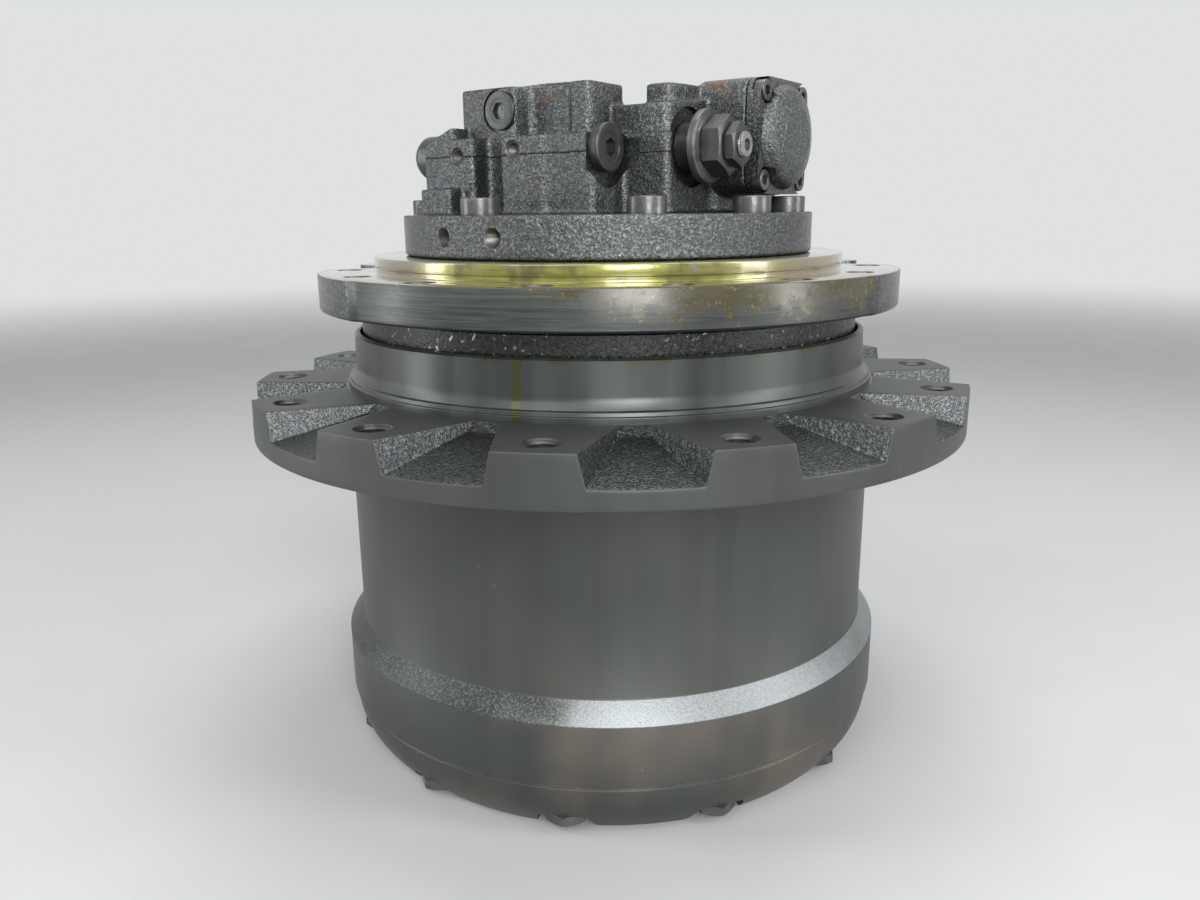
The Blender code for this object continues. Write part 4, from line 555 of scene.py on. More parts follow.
def coated_casting(name, colours, grain=1.0, rust=0.3, parting=None):
    """Dark glossy coat on sand-cast iron: fine grit that sparkles, grit crests lightened as painted glints,
    and some rust.
    """
    f = Finish(name, metallic=0.85)
    lumps = f.noise(170.0, 3.0, 0.5)
    grit = f.noise(560.0, 3.0, 0.6)
    fine = f.noise(1700.0, 2.0, 0.6)
    height = f.plus(grit, f.times(fine, 0.35))
    height = f.math("MULTIPLY_ADD", lumps, 0.9, height)
    # Painted glint: the crests of the grit get a lighter copy of the casting colour, standing in for
    # sparkle.
    painted_glint = f.between(grit, 0.42, 0.68)
    base = f.mix(painted_glint, tint(colours.casting, 0.55), tint(colours.casting, 1.55))
    clouds = f.noise(14.0, 4.0)
    base = f.mix(f.between(clouds, 0.35, 0.7, 0.0, 0.45), base, tint(colours.casting, 0.6))
    up = f.between(f.along(2), 0.430, 0.462)
    patch = f.between(f.noise(60.0, 6.0, 0.65), 0.50, 0.68)
    spots = f.times(patch, f.math("MULTIPLY_ADD", up, rust, 0.10 * rust))
    base = f.mix(spots, base, colours.rust)
    rough = f.between(fine, 0.3, 0.7, 0.17, 0.34)
    if parting is not None:
        away = f.away(f.along(2), parting)
        seam = f.between(away, 0.0007, 0.0)
        height = f.math("MULTIPLY_ADD", seam, 1.2, height)
    normal = f.bump(height, 0.9 * grain, 0.0008)
    return f.done(base, rough, normal)


def dark_neck(colours):
    """Dark neck over the collar: painted shade of the gap under the mount, some oil, and bright specks of
    bare metal.
    """
    f = Finish("dark_neck", metallic=0.6)
    grit = f.noise(500.0, 3.0, 0.6)
    specks = f.times(f.between(f.noise(330.0, 2.0), 0.62, 0.70), f.between(f.noise(25.0, 3.0), 0.42, 0.60))
    # Painted shade: the casting colour is cut to a small share, for the shade in the gap under the mount.
    base = f.tones(grit, 0.35, 0.65, colours.casting, 0.16, 0.39)
    base = f.mix(specks, base, (0.42, 0.41, 0.36))
    return f.done(base, f.between(grit, 0.3, 0.7, 0.22, 0.42), f.bump(grit, 0.7, 0.0006))


def bright_band(colours):
    """Grainy cone under the drum, with painted light: bright grain at the right and dark coat at the left.
    """
    f = Finish("bright_band", metallic=0.7)
    grain = f.noise(800.0, 4.0, 0.65)
    wide = f.ring_noise(4.0, 20.0, 3.0, 0.5)
    base = f.tones(grain, 0.35, 0.68, colours.band, 0.62, 0.95)
    # Painted light: from left to right the colour turns from dark coat to bright grain, as if lit from the
    # right.
    bright_part = f.plus(f.between(f.along(0), -0.09, 0.03), f.between(wide, 0.3, 0.7, -0.35, 0.2))
    dark = f.tones(grain, 0.45, 0.70, colours.coating, 0.8, 3.2)
    base = f.mix(f.between(bright_part, 0.1, 0.9), dark, base)
    rough = f.between(grain, 0.3, 0.7, 0.32, 0.50)
    return f.done(base, rough, f.bump(grain, 0.6, 0.0004))


def mount_face(colours, top):
    """Turned edge of the mount, blotched and speckled by dried oil at its right."""
    f = Finish("mount_face", metallic=0.45)
    lines = f.ring_noise(3.5, 620.0, 4.0, 0.75)
    broad = f.ring_noise(8.0, 90.0, 3.0, 0.6)
    base = f.tones(lines, 0.3, 0.7, colours.coating, 0.7, 1.6)
    blotch = f.ring_noise(25.0, 120.0, 6.0, 0.72)
    below = f.math("SUBTRACT", top, f.along(2))
    sink = f.times(below, -14.0)
    right = f.between(f.along(0), -0.07, 0.04, -0.06, 0.20)
    wet = f.plus(f.plus(blotch, sink), right)
    stain = f.between(wet, 0.44, 0.56)
    base = f.mix(f.times(stain, 0.8), base, colours.stain)
    speckle = f.between(f.noise(420.0, 4.0, 0.7), 0.58, 0.66)
    base = f.mix(f.times(speckle, f.times(stain, 0.7)), base, (0.20, 0.19, 0.055))
    rough = f.math("SUBTRACT", f.between(broad, 0.3, 0.7, 0.30, 0.44), f.times(stain, 0.12))
    normal = f.bump(lines, 0.35, 0.00018)
    return f.done(base, rough, normal, f.between(stain, 0.0, 1.0, 0.45, 0.0))


def oiled_steel(colours):
    """Machined steel under a streaked yellow-green film of rust-preventing oil."""
    f = Finish("oiled_steel", metallic=0.5, coat=1.0, coat_roughness=0.09)
    streaks = f.ring_noise(3.0, 300.0, 5.0, 0.65)
    pools = f.ring_noise(9.0, 40.0, 4.0, 0.6)
    olive = f.noise(70.0, 4.0, 0.6)
    base = f.mix(f.between(streaks, 0.35, 0.68), colours.oil, (0.13, 0.13, 0.035))
    base = f.mix(f.between(pools, 0.50, 0.68, 0.0, 0.85), base, (0.105, 0.10, 0.022))
    base = f.mix(f.between(olive, 0.56, 0.70, 0.0, 0.6), base, tint(colours.steel, 0.55))
    ends = f.between(f.away(f.along(0), -0.01), 0.055, 0.135)
    thin = f.times(ends, f.between(pools, 0.35, 0.60, 0.55, 0.95))
    base = f.mix(thin, base, (0.26, 0.215, 0.15))
    rough = f.between(streaks, 0.3, 0.7, 0.16, 0.32)
    normal = f.bump(streaks, 0.3, 0.00030)
    normal = f.bump(pools, 0.3, 0.0010, normal)
    return f.done(base, rough, normal)


def collar_face(colours, top):
    """Turned collar with soft reflections, a few pits, and one run of oil."""
    f = Finish("collar_face", metallic=0.5)
    lines = f.ring_noise(2.5, 800.0, 3.0, 0.7)
    streaks = f.ring_noise(9.0, 4.0, 3.0, 0.5)
    base = f.tones(streaks, 0.35, 0.65, colours.coating, 1.0, 1.35)
    pits = f.specks(260.0, (0.14, 0.06), 26.0, (0.56, 0.62), 2.0)
    base = f.mix(pits, base, (0.012, 0.012, 0.012))
    wander = f.times(f.math("SUBTRACT", f.noise(45.0, 3.0), 0.5), 0.007)
    across = f.math("ABSOLUTE", f.plus(f.math("SUBTRACT", f.along(0), -0.0525), wander))
    front = f.between(f.along(1), -0.10, -0.12)
    run = f.times(f.between(across, 0.0042, 0.0008), front)
    base = f.mix(f.times(run, 0.85), base, (0.050, 0.055, 0.012))
    near_top = f.between(f.along(2), top - 0.006, top - 0.001)
    patch = f.times(near_top, f.between(f.noise(70.0, 4.0), 0.5, 0.62))
    base = f.mix(f.times(patch, 0.6), base, colours.stain)
    rough = f.math("SUBTRACT", f.between(streaks, 0.3, 0.7, 0.28, 0.36), f.times(run, 0.12))
    normal = f.bump(lines, 0.18, 0.00012)
    normal = f.bump(f.math("SUBTRACT", 0.0, pits), 0.6, 0.0004, normal)
    return f.done(base, rough, normal)


def worn_steel(name, base_colour, roughness, metallic, scratch=0.25):
    """Steel with fine scratches, a change of tone and handling marks."""
    f = Finish(name, metallic=metallic)
    tone = f.noise(45.0, 5.0, 0.6)
    fine = f.noise(1600.0, 3.0)
    long = f.ring_noise(60.0, 260.0, 4.0, 0.7)
    base = f.tones(tone, 0.3, 0.7, base_colour, 0.72, 1.3)
    rough = f.between(long, 0.3, 0.7, roughness * 0.75, roughness * 1.3)
    normal = f.bump(fine, scratch, 0.00010)
    return f.done(base, rough, f.bump(long, scratch, 0.00015, normal))


def soft_rubber(colours):
    """Matt seal rubber."""
    f = Finish("seal_rubber")
    dust = f.noise(300.0, 5.0)
    base = f.mix(f.between(dust, 0.5, 0.75, 0.0, 0.3), colours.rubber, (0.09, 0.09, 0.085))
    return f.done(base, f.between(dust, 0.3, 0.7, 0.6, 0.85), f.bump(dust, 0.2, 0.0002))


def finishes(context):
    """All finishes by name, made once."""
    store = {m["drive_finish"]: m for m in bpy.data.materials if m.get("drive_finish")}
    if store:
        return store
    colours = context.scene.drive_colours
    housing = context.scene.housing_sizes
    made = [
        coated_machined("coated_drum", colours),
        coated_machined("coated_case", colours, 0.40),
        coated_casting("rough_casting", colours),
        coated_casting("block_casting", colours, 1.0, 0.8, 0.413),
        coated_casting("fine_casting", colours, 0.45, 0.25),
        dark_neck(colours),
        bright_band(colours),
        mount_face(colours, housing.mount_top),
        oiled_steel(colours),
        collar_face(colours, HUB_HIGH.z),
        worn_steel("thread_steel", tint(colours.steel, 0.20), 0.36, 0.8, 0.15),
        worn_steel("black_steel", colours.black, 0.34, 0.65),
        worn_steel("screw_steel", tint(colours.steel, 0.26), 0.34, 0.75),
        worn_steel("plated_steel", colours.plated, 0.28, 0.9),
        worn_steel("gear_steel", tint(colours.steel, 0.9), 0.28, 1.0),
        worn_steel("bare_steel", colours.steel, 0.32, 1.0),
        worn_steel("bronze", colours.bronze, 0.34, 1.0),
        soft_rubber(colours),
    ]
    return {m["drive_finish"]: m for m in made}


class FINALDRIVE_OT_end_cover(bpy.types.Operator):
    """Make the end cover with its bolts in pockets"""

    bl_idname = "finaldrive.end_cover"
    bl_label = "End Cover"

    def execute(self, context):
        """Turn the cover, sink the pockets and set the bolts."""
        s = context.scene.cover_sizes
        looks = finishes(context)
        top = COVER_HIGH.z if COVER_HIGH.z < HUB_LOW.z else HUB_LOW.z - GAP
        inside = top - 0.013
        radius = COVER_HIGH.x
        path = [(0.002, s.recess_depth, 0), (s.recess_radius - 0.005, s.recess_depth, 0.003),
                (s.recess_radius, 0.0, 0.001)]
        steps = 14
        for step in range(steps):
            height = top * step / steps
            inset = (radius - s.foot_radius) * (1 - height / top) ** 2.5
            path.append((radius - inset, height, 0.0012 if step == 0 else 0))
        path += [(radius, top - 0.0010, 0), (radius - 0.0010, top, 0), (0.140, top, 0),
                 (0.135, inside, 0), (0.002, inside, 0)]
        cover = turned("end_cover_surface", path, 240, looks["coated_case"], steps=3)
        pockets = bmesh.new()
        wall = s.pocket_radius
        floor = s.pocket_depth
        profile = [(wall + 0.006, -OUTSIDE, 0), (wall + 0.0016, 0.0, 0), (wall, 0.0018, 0),
                   (wall, floor, 0.003), (0.001, floor, 0)]
        for place in even_places(COVER_BOLTS, FIRST_COVER_BOLT, s.bolt_circle):
            add_lathe(pockets, profile, 56, place, 4)
        seat = OIL_PLUG_RADIUS + GAP
        level = s.recess_depth + 0.0015
        spot = [(seat, PLUG_LOW.z - OUTSIDE), (seat, level), (0.001, level)]
        for _, angle in OIL_PLUGS:
            add_lathe(pockets, spot, 40, at_radius(angle, OIL_PLUG_CIRCLE))
        cut(cover, pockets, looks["rough_casting"])
        dress(cover, "hub", "coated_casting", "end_cover")
        flip = Matrix.Rotation(math.pi, 4, "X")
        for index, place in enumerate(even_places(COVER_BOLTS, FIRST_COVER_BOLT, s.bolt_circle, floor)):
            name = f"cover_bolt_{index + 1}"
            bolt = hex_head(name, s.bolt_flats, s.head_height, looks["screw_steel"], place @ flip)
            dress(bolt, "hub", "plated_steel")
        return {"FINISHED"}


class FINALDRIVE_OT_oil_plugs(bpy.types.Operator):
    """Make the fill and drain plugs"""

    bl_idname = "finaldrive.oil_plugs"
    bl_label = "Oil Plugs"

    def execute(self, context):
        """Make a socket plug for each of the two holes."""
        looks = finishes(context)
        head = PLUG_LOW.z
        path = [(0.0125, 0.024, 0), (0.0125, head + 0.005, 0), (OIL_PLUG_RADIUS, head + 0.005, 0.0005),
                (OIL_PLUG_RADIUS, head, 0.001), (0.002, head, 0)]
        for name, angle in OIL_PLUGS:
            place = at_radius(angle, OIL_PLUG_CIRCLE)
            plug = turned(name + "_surface", path, 48, looks["plated_steel"], place, 3)
            sink_socket(plug, 0.012, head - OUTSIDE, head + 0.006, place)
            dress(plug, "hub", "plated_steel", name)
        return {"FINISHED"}


def pocket_section(radius, s):
    """Angles and depths across one sector of the flange at a radius, from land to land."""
    rim = HUB_HIGH.x
    half_sector = math.pi / SPROCKET_HOLES
    flat = max(radius, s.pocket_start)

    def share_at(x, start):
        return max(0.0, (x - start) / (rim - start))

    def floor_depth(x):
        if x < s.pocket_floor:
            return s.pocket_floor_depth * max(0.0, x - s.pocket_start) / (s.pocket_floor - s.pocket_start)
        rise = s.pocket_rim_depth - s.pocket_floor_depth
        return s.pocket_floor_depth + rise * share_at(x, s.pocket_floor)

    def half_width(x):
        rise = s.pocket_rim_width - s.pocket_inner_width
        return (s.pocket_inner_width + rise * share_at(x, s.pocket_start)) / 2

    def settled(size):
        x = flat
        for _ in range(4):
            x = math.sqrt(flat * flat - size(x) ** 2)
        return size(x), x

    draft = 0.24
    top = settled(half_width)[0]
    low, low_x = settled(lambda x: half_width(x) - draft * floor_depth(x))
    depth = floor_depth(low_x)
    land = flat * math.sin(half_sector)
    path = [(-land, 0.0, 0), (-top, 0.0, 0.0009), (-low, -depth, 0.0016)]
    path += [(low, -depth, 0.0016), (top, 0.0, 0.0009), (land, 0.0, 0)]
    corners = rounded(path, 3)
    points = []
    last = len(corners) - 2
    counts = {0: 5, last // 2: 8, last: 5}
    for index, (first, second) in enumerate(zip(corners, corners[1:])):
        count = counts.get(index, 1)
        for step in range(count):
            t = step / count
            points.append(tuple(a + (b - a) * t for a, b in zip(first, second)))
    section = []
    for across, down in points:
        turn = math.asin(max(-1.0, min(1.0, across / flat)))
        if down < 0 and abs(down) > depth * 0.98 and radius >= s.pocket_start:
            down = -floor_depth(flat * math.cos(turn))
        if radius < s.pocket_start + 1e-6:
            down = 0.0
        section.append((turn, down))
    return section


class FINALDRIVE_OT_hub(bpy.types.Operator):
    """Make the turning hub with its pocketed sprocket flange"""

    bl_idname = "finaldrive.hub"
    bl_label = "Hub"

    def execute(self, context):
        """Skin the hub from rings, with the flange's top shaped ring by ring."""
        s = context.scene.hub_sizes
        looks = finishes(context)
        rim = HUB_HIGH.x
        bottom = HUB_LOW.z
        top = HUB_HIGH.z
        bore = 0.166
        base = pocket_section(rim, s)
        turn = 2 * math.pi / SPROCKET_HOLES
        first = math.radians(FIRST_SPROCKET_HOLE + 180 / SPROCKET_HOLES - 90)

        def ring(radius, height, section=base, follow=None):
            points = []
            for sector in range(SPROCKET_HOLES):
                for angle, down in section:
                    at = first + sector * turn + angle
                    level = height if follow is None else follow(height, down)
                    points.append(Vector((radius * math.cos(at), radius * math.sin(at), level)))
            return points

        def plain(path, slot):
            for radius, height in path:
                rows.append(ring(radius, height))
                slots.append(slot)

        names = ["coated_drum", "coated_case", "bright_band", "rough_casting", "collar_face", "bare_steel"]
        drum, case, band, rough, collar, bright_part = range(6)
        rows = []
        slots = []
        plain([(bore, bottom), (s.rim_radius - 0.0018, bottom)], case)
        plain([(s.rim_radius, bottom + 0.0020)], bright_part)
        plain([(s.rim_radius, s.rim_top - 0.0008)], case)
        plain([(s.rim_radius - 0.0004, s.rim_top), (s.drum_radius + 0.0006, s.drum_bottom)], band)
        plain([(s.drum_radius, s.drum_bottom + 0.0009), (s.drum_radius, 0.16)], drum)
        fillet = rounded(
            [(s.drum_radius, 0.16, 0), (s.drum_radius, s.flange_bottom, 0.006),
             (rim, s.flange_bottom, 0.0016), (rim, s.flange_top, 0)], 5)
        plain(fillet[1:-1], drum)
        lip = 0.0009
        low = s.flange_bottom + 0.0016
        for step in range(1, 7):
            part = step / 6
            rows.append(ring(rim, s.flange_top - lip, base,
                             lambda h, down, part=part: low + (h + down - low) * part))
            slots.append(drum)
        edge = rounded([(rim, -0.02, 0), (rim, 0.0, lip), (rim - 0.02, 0.0, 0)], 3)
        radii = [rim - lip]
        while radii[-1] > s.pocket_floor + 0.0035:
            radii.append(radii[-1] - 0.003)
        radii += [s.pocket_floor + 0.0008, s.pocket_floor - 0.0006, s.pocket_start + 0.0032,
                  s.pocket_start + 0.0004, s.pocket_start]
        for radius, sunk in edge[2:4] + [(radius, 0.0) for radius in radii]:
            section = pocket_section(radius, s)
            rows.append(ring(radius, s.flange_top + sunk, section, lambda h, down: h + down))
            slots.append(drum)
        foot = s.flange_top
        path = [(s.collar_foot, foot, 0), (s.collar_foot, foot + 0.0036, 0.0006),
                (s.collar_foot - 0.0010, foot + 0.0042, 0.0004),
                (s.collar_foot - 0.0014, foot + 0.0064, 0.0009),
                (s.collar_foot - 0.0030, foot + 0.0070, 0.0006),
                (s.collar_radius + 0.0008, foot + 0.0125, 0.01), (s.collar_radius, top - 0.0012, 0),
                (s.collar_radius - 0.0014, top, 0), (s.collar_bore, top, 0.0004),
                (s.collar_bore, top - 0.012, 0)]
        plain(rounded(path, 3), collar)
        plain([(bore - 0.001, top - 0.012), (bore - 0.001, 0.16), (bore, 0.16)], bright_part)
        bm = bmesh.new()
        add_rings(bm, rows, slots[1:] + [bright_part])
        for face in bm.faces:
            centre = face.calc_center_median()
            in_pocket = s.flange_bottom + 0.002 < centre.z < s.flange_top - 0.0004
            if in_pocket and s.pocket_start - 0.0002 < centre.xy.length < rim - 0.0003:
                face.material_index = rough
        hub = new_piece("hub_surface", bm, [looks[name] for name in names])
        holes = bmesh.new()
        for place in even_places(SPROCKET_HOLES, FIRST_SPROCKET_HOLE, s.hole_circle):
            add_thread(holes, 0.0101, 0.0025, s.flange_bottom - OUTSIDE, s.flange_top, place)
        cut(hub, holes, looks["thread_steel"])
        dress(hub, "hub", "coated_casting", "hub")
        return {"FINISHED"}


def mount_edge(angle, s):
    """Radius of the mount's outline at an angle from the front."""
    turn = abs(angle)
    front_end = FRONT_END_RIGHT if angle >= 0 else FRONT_END_LEFT
    if turn > EAR_MIDDLE:
        turn = 2 * EAR_MIDDLE - turn
        front_end = FRONT_END_RIGHT
    if turn <= front_end:
        return s.mount_radius
    if turn <= LAST_EAR_HOLE:
        return s.mount_radius + (s.ear_radius - s.mount_radius) * min(1.0, (turn - front_end) / EAR_STEP)
    past = math.radians(turn - LAST_EAR_HOLE)
    limit = math.asin(s.lobe_radius / s.hole_circle)
    if past < limit:
        across = s.hole_circle * math.sin(past)
        return s.hole_circle * math.cos(past) + math.sqrt(s.lobe_radius**2 - across**2)
    shoulder = s.hole_circle * math.cos(limit)
    fall = min(1.0, (past - limit) / math.radians(NOTCH_FALL))
    return shoulder + (s.notch_radius - shoulder) * math.sin(fall * math.pi / 2)


class FINALDRIVE_OT_motor_housing(bpy.types.Operator):
    """Make the fixed housing with its frame mount and spigot"""

    bl_idname = "finaldrive.motor_housing"
    bl_label = "Motor Housing"

    def execute(self, context):
        """Skin the neck, the mount with its ears, and the spigot, then drill the mount."""
        s = context.scene.housing_sizes
        looks = finishes(context)
        names = ["dark_neck", "mount_face", "oiled_steel", "fine_casting"]
        rough, machined, oiled, ear = range(4)
        stretches = ((-180, -116, 40), (-116, -76, 90), (-76, 76, 110), (76, 116, 90), (116, 180, 40))
        angles = []
        for start, end, count in stretches:
            angles += [start + (end - start) * step / count for step in range(count)]
        bottom = HUB_HIGH.z - 0.009
        under = s.mount_bottom
        top = s.mount_top
        foot = s.neck_radius - 0.003
        spigot = s.spigot_radius
        spigot_top = HOUSING_HIGH.z
        bore = 0.130
        edge = 0.0009
        rows = []
        slots = []

        def ring(slot, height, radius_at):
            points = []
            for angle in angles:
                out = radius_at(angle)
                at = math.radians(angle - 90)
                points.append(Vector((out * math.cos(at), out * math.sin(at), height)))
            rows.append(points)
            slots.append(slot)

        def plain(slot, path):
            for radius, height in rounded(path, 3):
                ring(slot, height, lambda angle: radius)

        def outline(slot, *path):
            for inset, height in path:
                ring(slot, height, lambda angle: mount_edge(angle, s) - inset)

        def root(angle):
            radius = mount_edge(angle, s) - 0.026
            return radius if radius > s.neck_radius else foot

        # The neck's finish carries painted shade of the gap under the mount.
        plain(rough, [(0.150, bottom, 0), (s.neck_radius, bottom, 0.001),
                      (s.neck_radius, under - 0.004, 0), (foot, under - 0.001, 0)])
        ring(rough, under, root)
        outline(rough, (edge * 2.5, under))
        outline(machined, (edge, under + edge * 0.6), (0.0, under + edge * 1.8), (0.0, top - edge),
                (edge * 0.3, top - edge * 0.3), (edge, top))
        plain(oiled, [(spigot + 0.0015, top, 0), (spigot - 0.0006, top, 0.0006),
                      (spigot - 0.0006, top + 0.0032, 0.0003), (spigot, top + 0.0036, 0.0003),
                      (spigot, spigot_top, 0.0012), (bore, spigot_top, 0), (bore, bottom, 0)])
        bm = bmesh.new()
        add_rings(bm, rows, slots[1:] + [rough])
        for face in bm.faces:
            centre = face.calc_center_median()
            angle = math.degrees(math.atan2(centre.x, -centre.y))
            on_edge = under + 0.0004 < centre.z < top - 0.0004 and centre.xy.length > s.neck_radius - 0.010
            in_front = -FRONT_END_LEFT - 0.2 <= angle <= FRONT_END_RIGHT + 0.2
            if on_edge and not in_front and abs(angle) < 128:
                face.material_index = ear
        housing = new_piece("motor_housing_surface", bm, [looks[name] for name in names])
        holes = bmesh.new()
        for place in even_places(MOUNT_HOLES, FIRST_MOUNT_HOLE, s.hole_circle):
            add_thread(holes, 0.0080, 0.0020, top - 0.018, top, place, 0.0012)
        cut(housing, holes, looks["thread_steel"])
        dress(housing, "fixed_casing", "coated_casting", "motor_housing")
        return {"FINISHED"}


def block_form():
    """Bodies of the casting: outline, corner radius, low level, peak level and rise of the top."""
    lower = [(-0.060, -0.105), (-0.033, -0.105), (-0.033, -0.088), (-0.015, -0.088), (-0.015, -0.100),
             (0.019, -0.100), (0.023, -0.097), (0.057, -0.097), (0.057, -0.064), (0.090, -0.064),
             (0.090, -0.012), (0.095, -0.006), (0.095, 0.080), (-0.060, 0.080)]
    shoulder = [(-0.078, -0.105), (-0.050, -0.105), (-0.050, 0.078), (-0.062, 0.078), (-0.078, 0.062)]
    upper = [(-0.058, -0.088), (-0.012, -0.088), (-0.008, -0.074), (0.022, -0.070), (0.030, -0.083),
             (0.045, -0.083), (0.045, -0.043), (-0.006, -0.040), (-0.006, -0.006), (-0.058, -0.006)]
    crown = [(-0.058, -0.088), (-0.012, -0.088), (-0.006, -0.060), (-0.006, -0.012), (-0.058, -0.012)]
    main = [(-0.058, -0.020), (-0.030, -0.060), (0.088, -0.061), (0.088, 0.074), (-0.056, 0.074)]
    right = [(0.062, -0.048), (0.082, -0.048), (0.082, 0.052), (0.056, 0.052)]
    pad = [(-0.069, -0.118), (-0.042, -0.118), (-0.042, -0.098), (-0.069, -0.098)]
    step = [(-0.079, -0.113), (-0.060, -0.113), (-0.060, -0.098), (-0.079, -0.098)]
    return [
        (lower, 0.005, 0.370, 0.424, (0.0, 0.0)),
        (shoulder, 0.005, 0.370, 0.432, (0.45, 0.0)),
        (upper, 0.006, 0.410, 0.4555, (0.0, 0.0)),
        (crown, 0.007, 0.430, BLOCK_HIGH.z, (0.16, 0.139)),
        (main, 0.006, 0.410, 0.455, (0.0, 0.10)),
        (right, 0.006, 0.430, 0.4565, (0.0, 0.02)),
        (pad, 0.003, 0.370, 0.3925, (0.0, 0.0)),
        (step, 0.003, 0.370, 0.3835, (0.0, 0.0)),
    ]


class FINALDRIVE_OT_valve_block(bpy.types.Operator):
    """Make the cast valve block with its machined seats"""

    bl_idname = "finaldrive.valve_block"
    bl_label = "Valve Block"

    def execute(self, context):
        """Join the casting's bodies, round them as cast, then machine seats and ports."""
        s = context.scene.block_sizes
        looks = finishes(context)
        casting = looks["block_casting"]
        foot = [(0.002, BLOCK_LOW.z), (s.flange_radius, BLOCK_LOW.z), (s.flange_radius, BLOCK_TOP),
                (0.002, BLOCK_TOP)]
        block = turned("valve_block_surface", foot, 180, casting)
        for corners, radius, low, high, rise in block_form():
            outline = rounded_outline(corners, radius)
            peak = max(u * rise[0] + v * rise[1] for u, v in outline)
            bm = bmesh.new()
            add_rings(bm, [
                [BLOCK_AXES @ Vector((u, v, low)) for u, v in outline],
                [BLOCK_AXES @ Vector((u, v, high + u * rise[0] + v * rise[1] - peak)) for u, v in outline],
            ])
            apply_change(block, new_piece("tier", bm, [casting]), "UNION")
        form = rounded_outline(square(0.036), 0.014, 5)
        spool_housing = raised("spool_housing", form, 0.080, 0.1155, casting, block_axis(*RIGHT_CAP_SEAT))
        apply_change(block, spool_housing, "UNION")
        remesh = block.modifiers.new("Casting", "REMESH")
        remesh.mode = "VOXEL"
        remesh.voxel_size = s.voxel
        soften = block.modifiers.new("Soften", "SMOOTH")
        soften.factor = 0.5
        soften.iterations = 7
        settle(block)
        self.machine(block, s, looks)
        dress(block, "fixed_casing", "coated_casting", "valve_block")
        return {"FINISHED"}

    def machine(self, block, s, looks):
        """Cut the bolt seats, the recesses round the fittings and the threaded ports."""
        cuts = bmesh.new()
        seat = [(s.spotface_radius, 0.3695), (s.spotface_radius, 0.392)]
        for angle in BLOCK_BOLT_ANGLES:
            add_lathe(cuts, seat, 48, at_radius(angle, s.bolt_circle))
        recesses = (
            (RELIEF_SEAT, s.relief_recess, -0.0050, 0.022),
            (UPPER_PLUG_SEAT, 0.0138, -0.0018, 0.012),
            (LEFT_CAP_SEAT, 0.0175, -0.0010, 0.03),
        )
        for axis, radius, low, high in recesses:
            add_lathe(cuts, [(radius, low), (radius, high)], 64, block_axis(*axis))
        slot = [(x + s.front_slot if x > 0 else x, y) for x, y in circle(s.front_recess, 64)]
        add_prism(cuts, slot, -0.0048, 0.012, block_axis(*FRONT_SLOT_SEAT))
        cut(block, cuts, looks["fine_casting"])
        ports = bmesh.new()
        level = (BLOCK_LOW.z + BLOCK_TOP) / 2
        for angle in (-45.0, -28.5):
            out = at_radius(angle, 0.0, level) @ Matrix.Rotation(math.pi / 2, 4, "Y")
            add_thread(ports, 0.0052, 0.0012, s.flange_radius - 0.020, s.flange_radius, out)
        for u, v, height in ((-0.046, -0.105, 0.413), (-0.003, -0.100, 0.416)):
            add_thread(ports, 0.0047, 0.0012, -0.012, 0.0, block_axis(u, v, height, "-v"))
        for u, radius in ((-0.035, 0.0125), (0.010, 0.0125), (0.050, 0.008), (0.078, 0.008)):
            add_thread(ports, radius, 0.0015, -0.015, 0.0, block_axis(u, 0.080, 0.402, "+v"), 0.0015)
        cut(block, ports, looks["thread_steel"])


class FINALDRIVE_OT_block_bolts(bpy.types.Operator):
    """Make the socket screws that hold the valve block"""

    bl_idname = "finaldrive.block_bolts"
    bl_label = "Block Bolts"

    def execute(self, context):
        """Set one screw on each seat."""
        s = context.scene.block_sizes
        finish = finishes(context)["screw_steel"]
        height = 0.016
        for index, angle in enumerate(BLOCK_BOLT_ANGLES):
            name = f"block_bolt_{index + 1}"
            place = at_radius(angle, s.bolt_circle, BOLT_HIGH.z - height)
            bolt = socket_screw(name + "_surface", s.bolt_radius, height, 0.014, 0.006, finish, place)
            dress(bolt, "fixed_casing", "black_steel", name)
        return {"FINISHED"}


class FINALDRIVE_OT_plugs(bpy.types.Operator):
    """Make the screwed plugs of the valve block"""

    bl_idname = "finaldrive.plugs"
    bl_label = "Plugs"

    def execute(self, context):
        """Set the front and upper plugs and the domed left cap."""
        finish = finishes(context)["black_steel"]
        plugs = (
            ("front_plug", FRONT_PLUG_SEAT, 0.0148, -0.0046, 0.0020),
            ("upper_plug", UPPER_PLUG_SEAT, 0.0122, -0.0016, 0.0006),
        )
        for name, axis, radius, low, high in plugs:
            place = block_axis(*axis) @ Matrix.Translation((0, 0, low))
            plug = socket_screw(name + "_surface", radius, high - low, 0.0100, 0.0055, finish, place)
            dress(plug, "fixed_casing", "black_steel", name)
        path = [(0.002, -0.0009, 0), (0.016, -0.0009, 0), (0.016, 0.004, 0.0008), (0.0150, 0.0045, 0.0006),
                (0.0150, 0.0170, 0.004), (0.0118, 0.0220, 0.004), (0.002, 0.0240, 0)]
        cap = turned("left_spool_cap_surface", path, 72, finish, block_axis(*LEFT_CAP_SEAT), 5)
        dress(cap, "fixed_casing", "black_steel", "left_spool_cap")
        return {"FINISHED"}


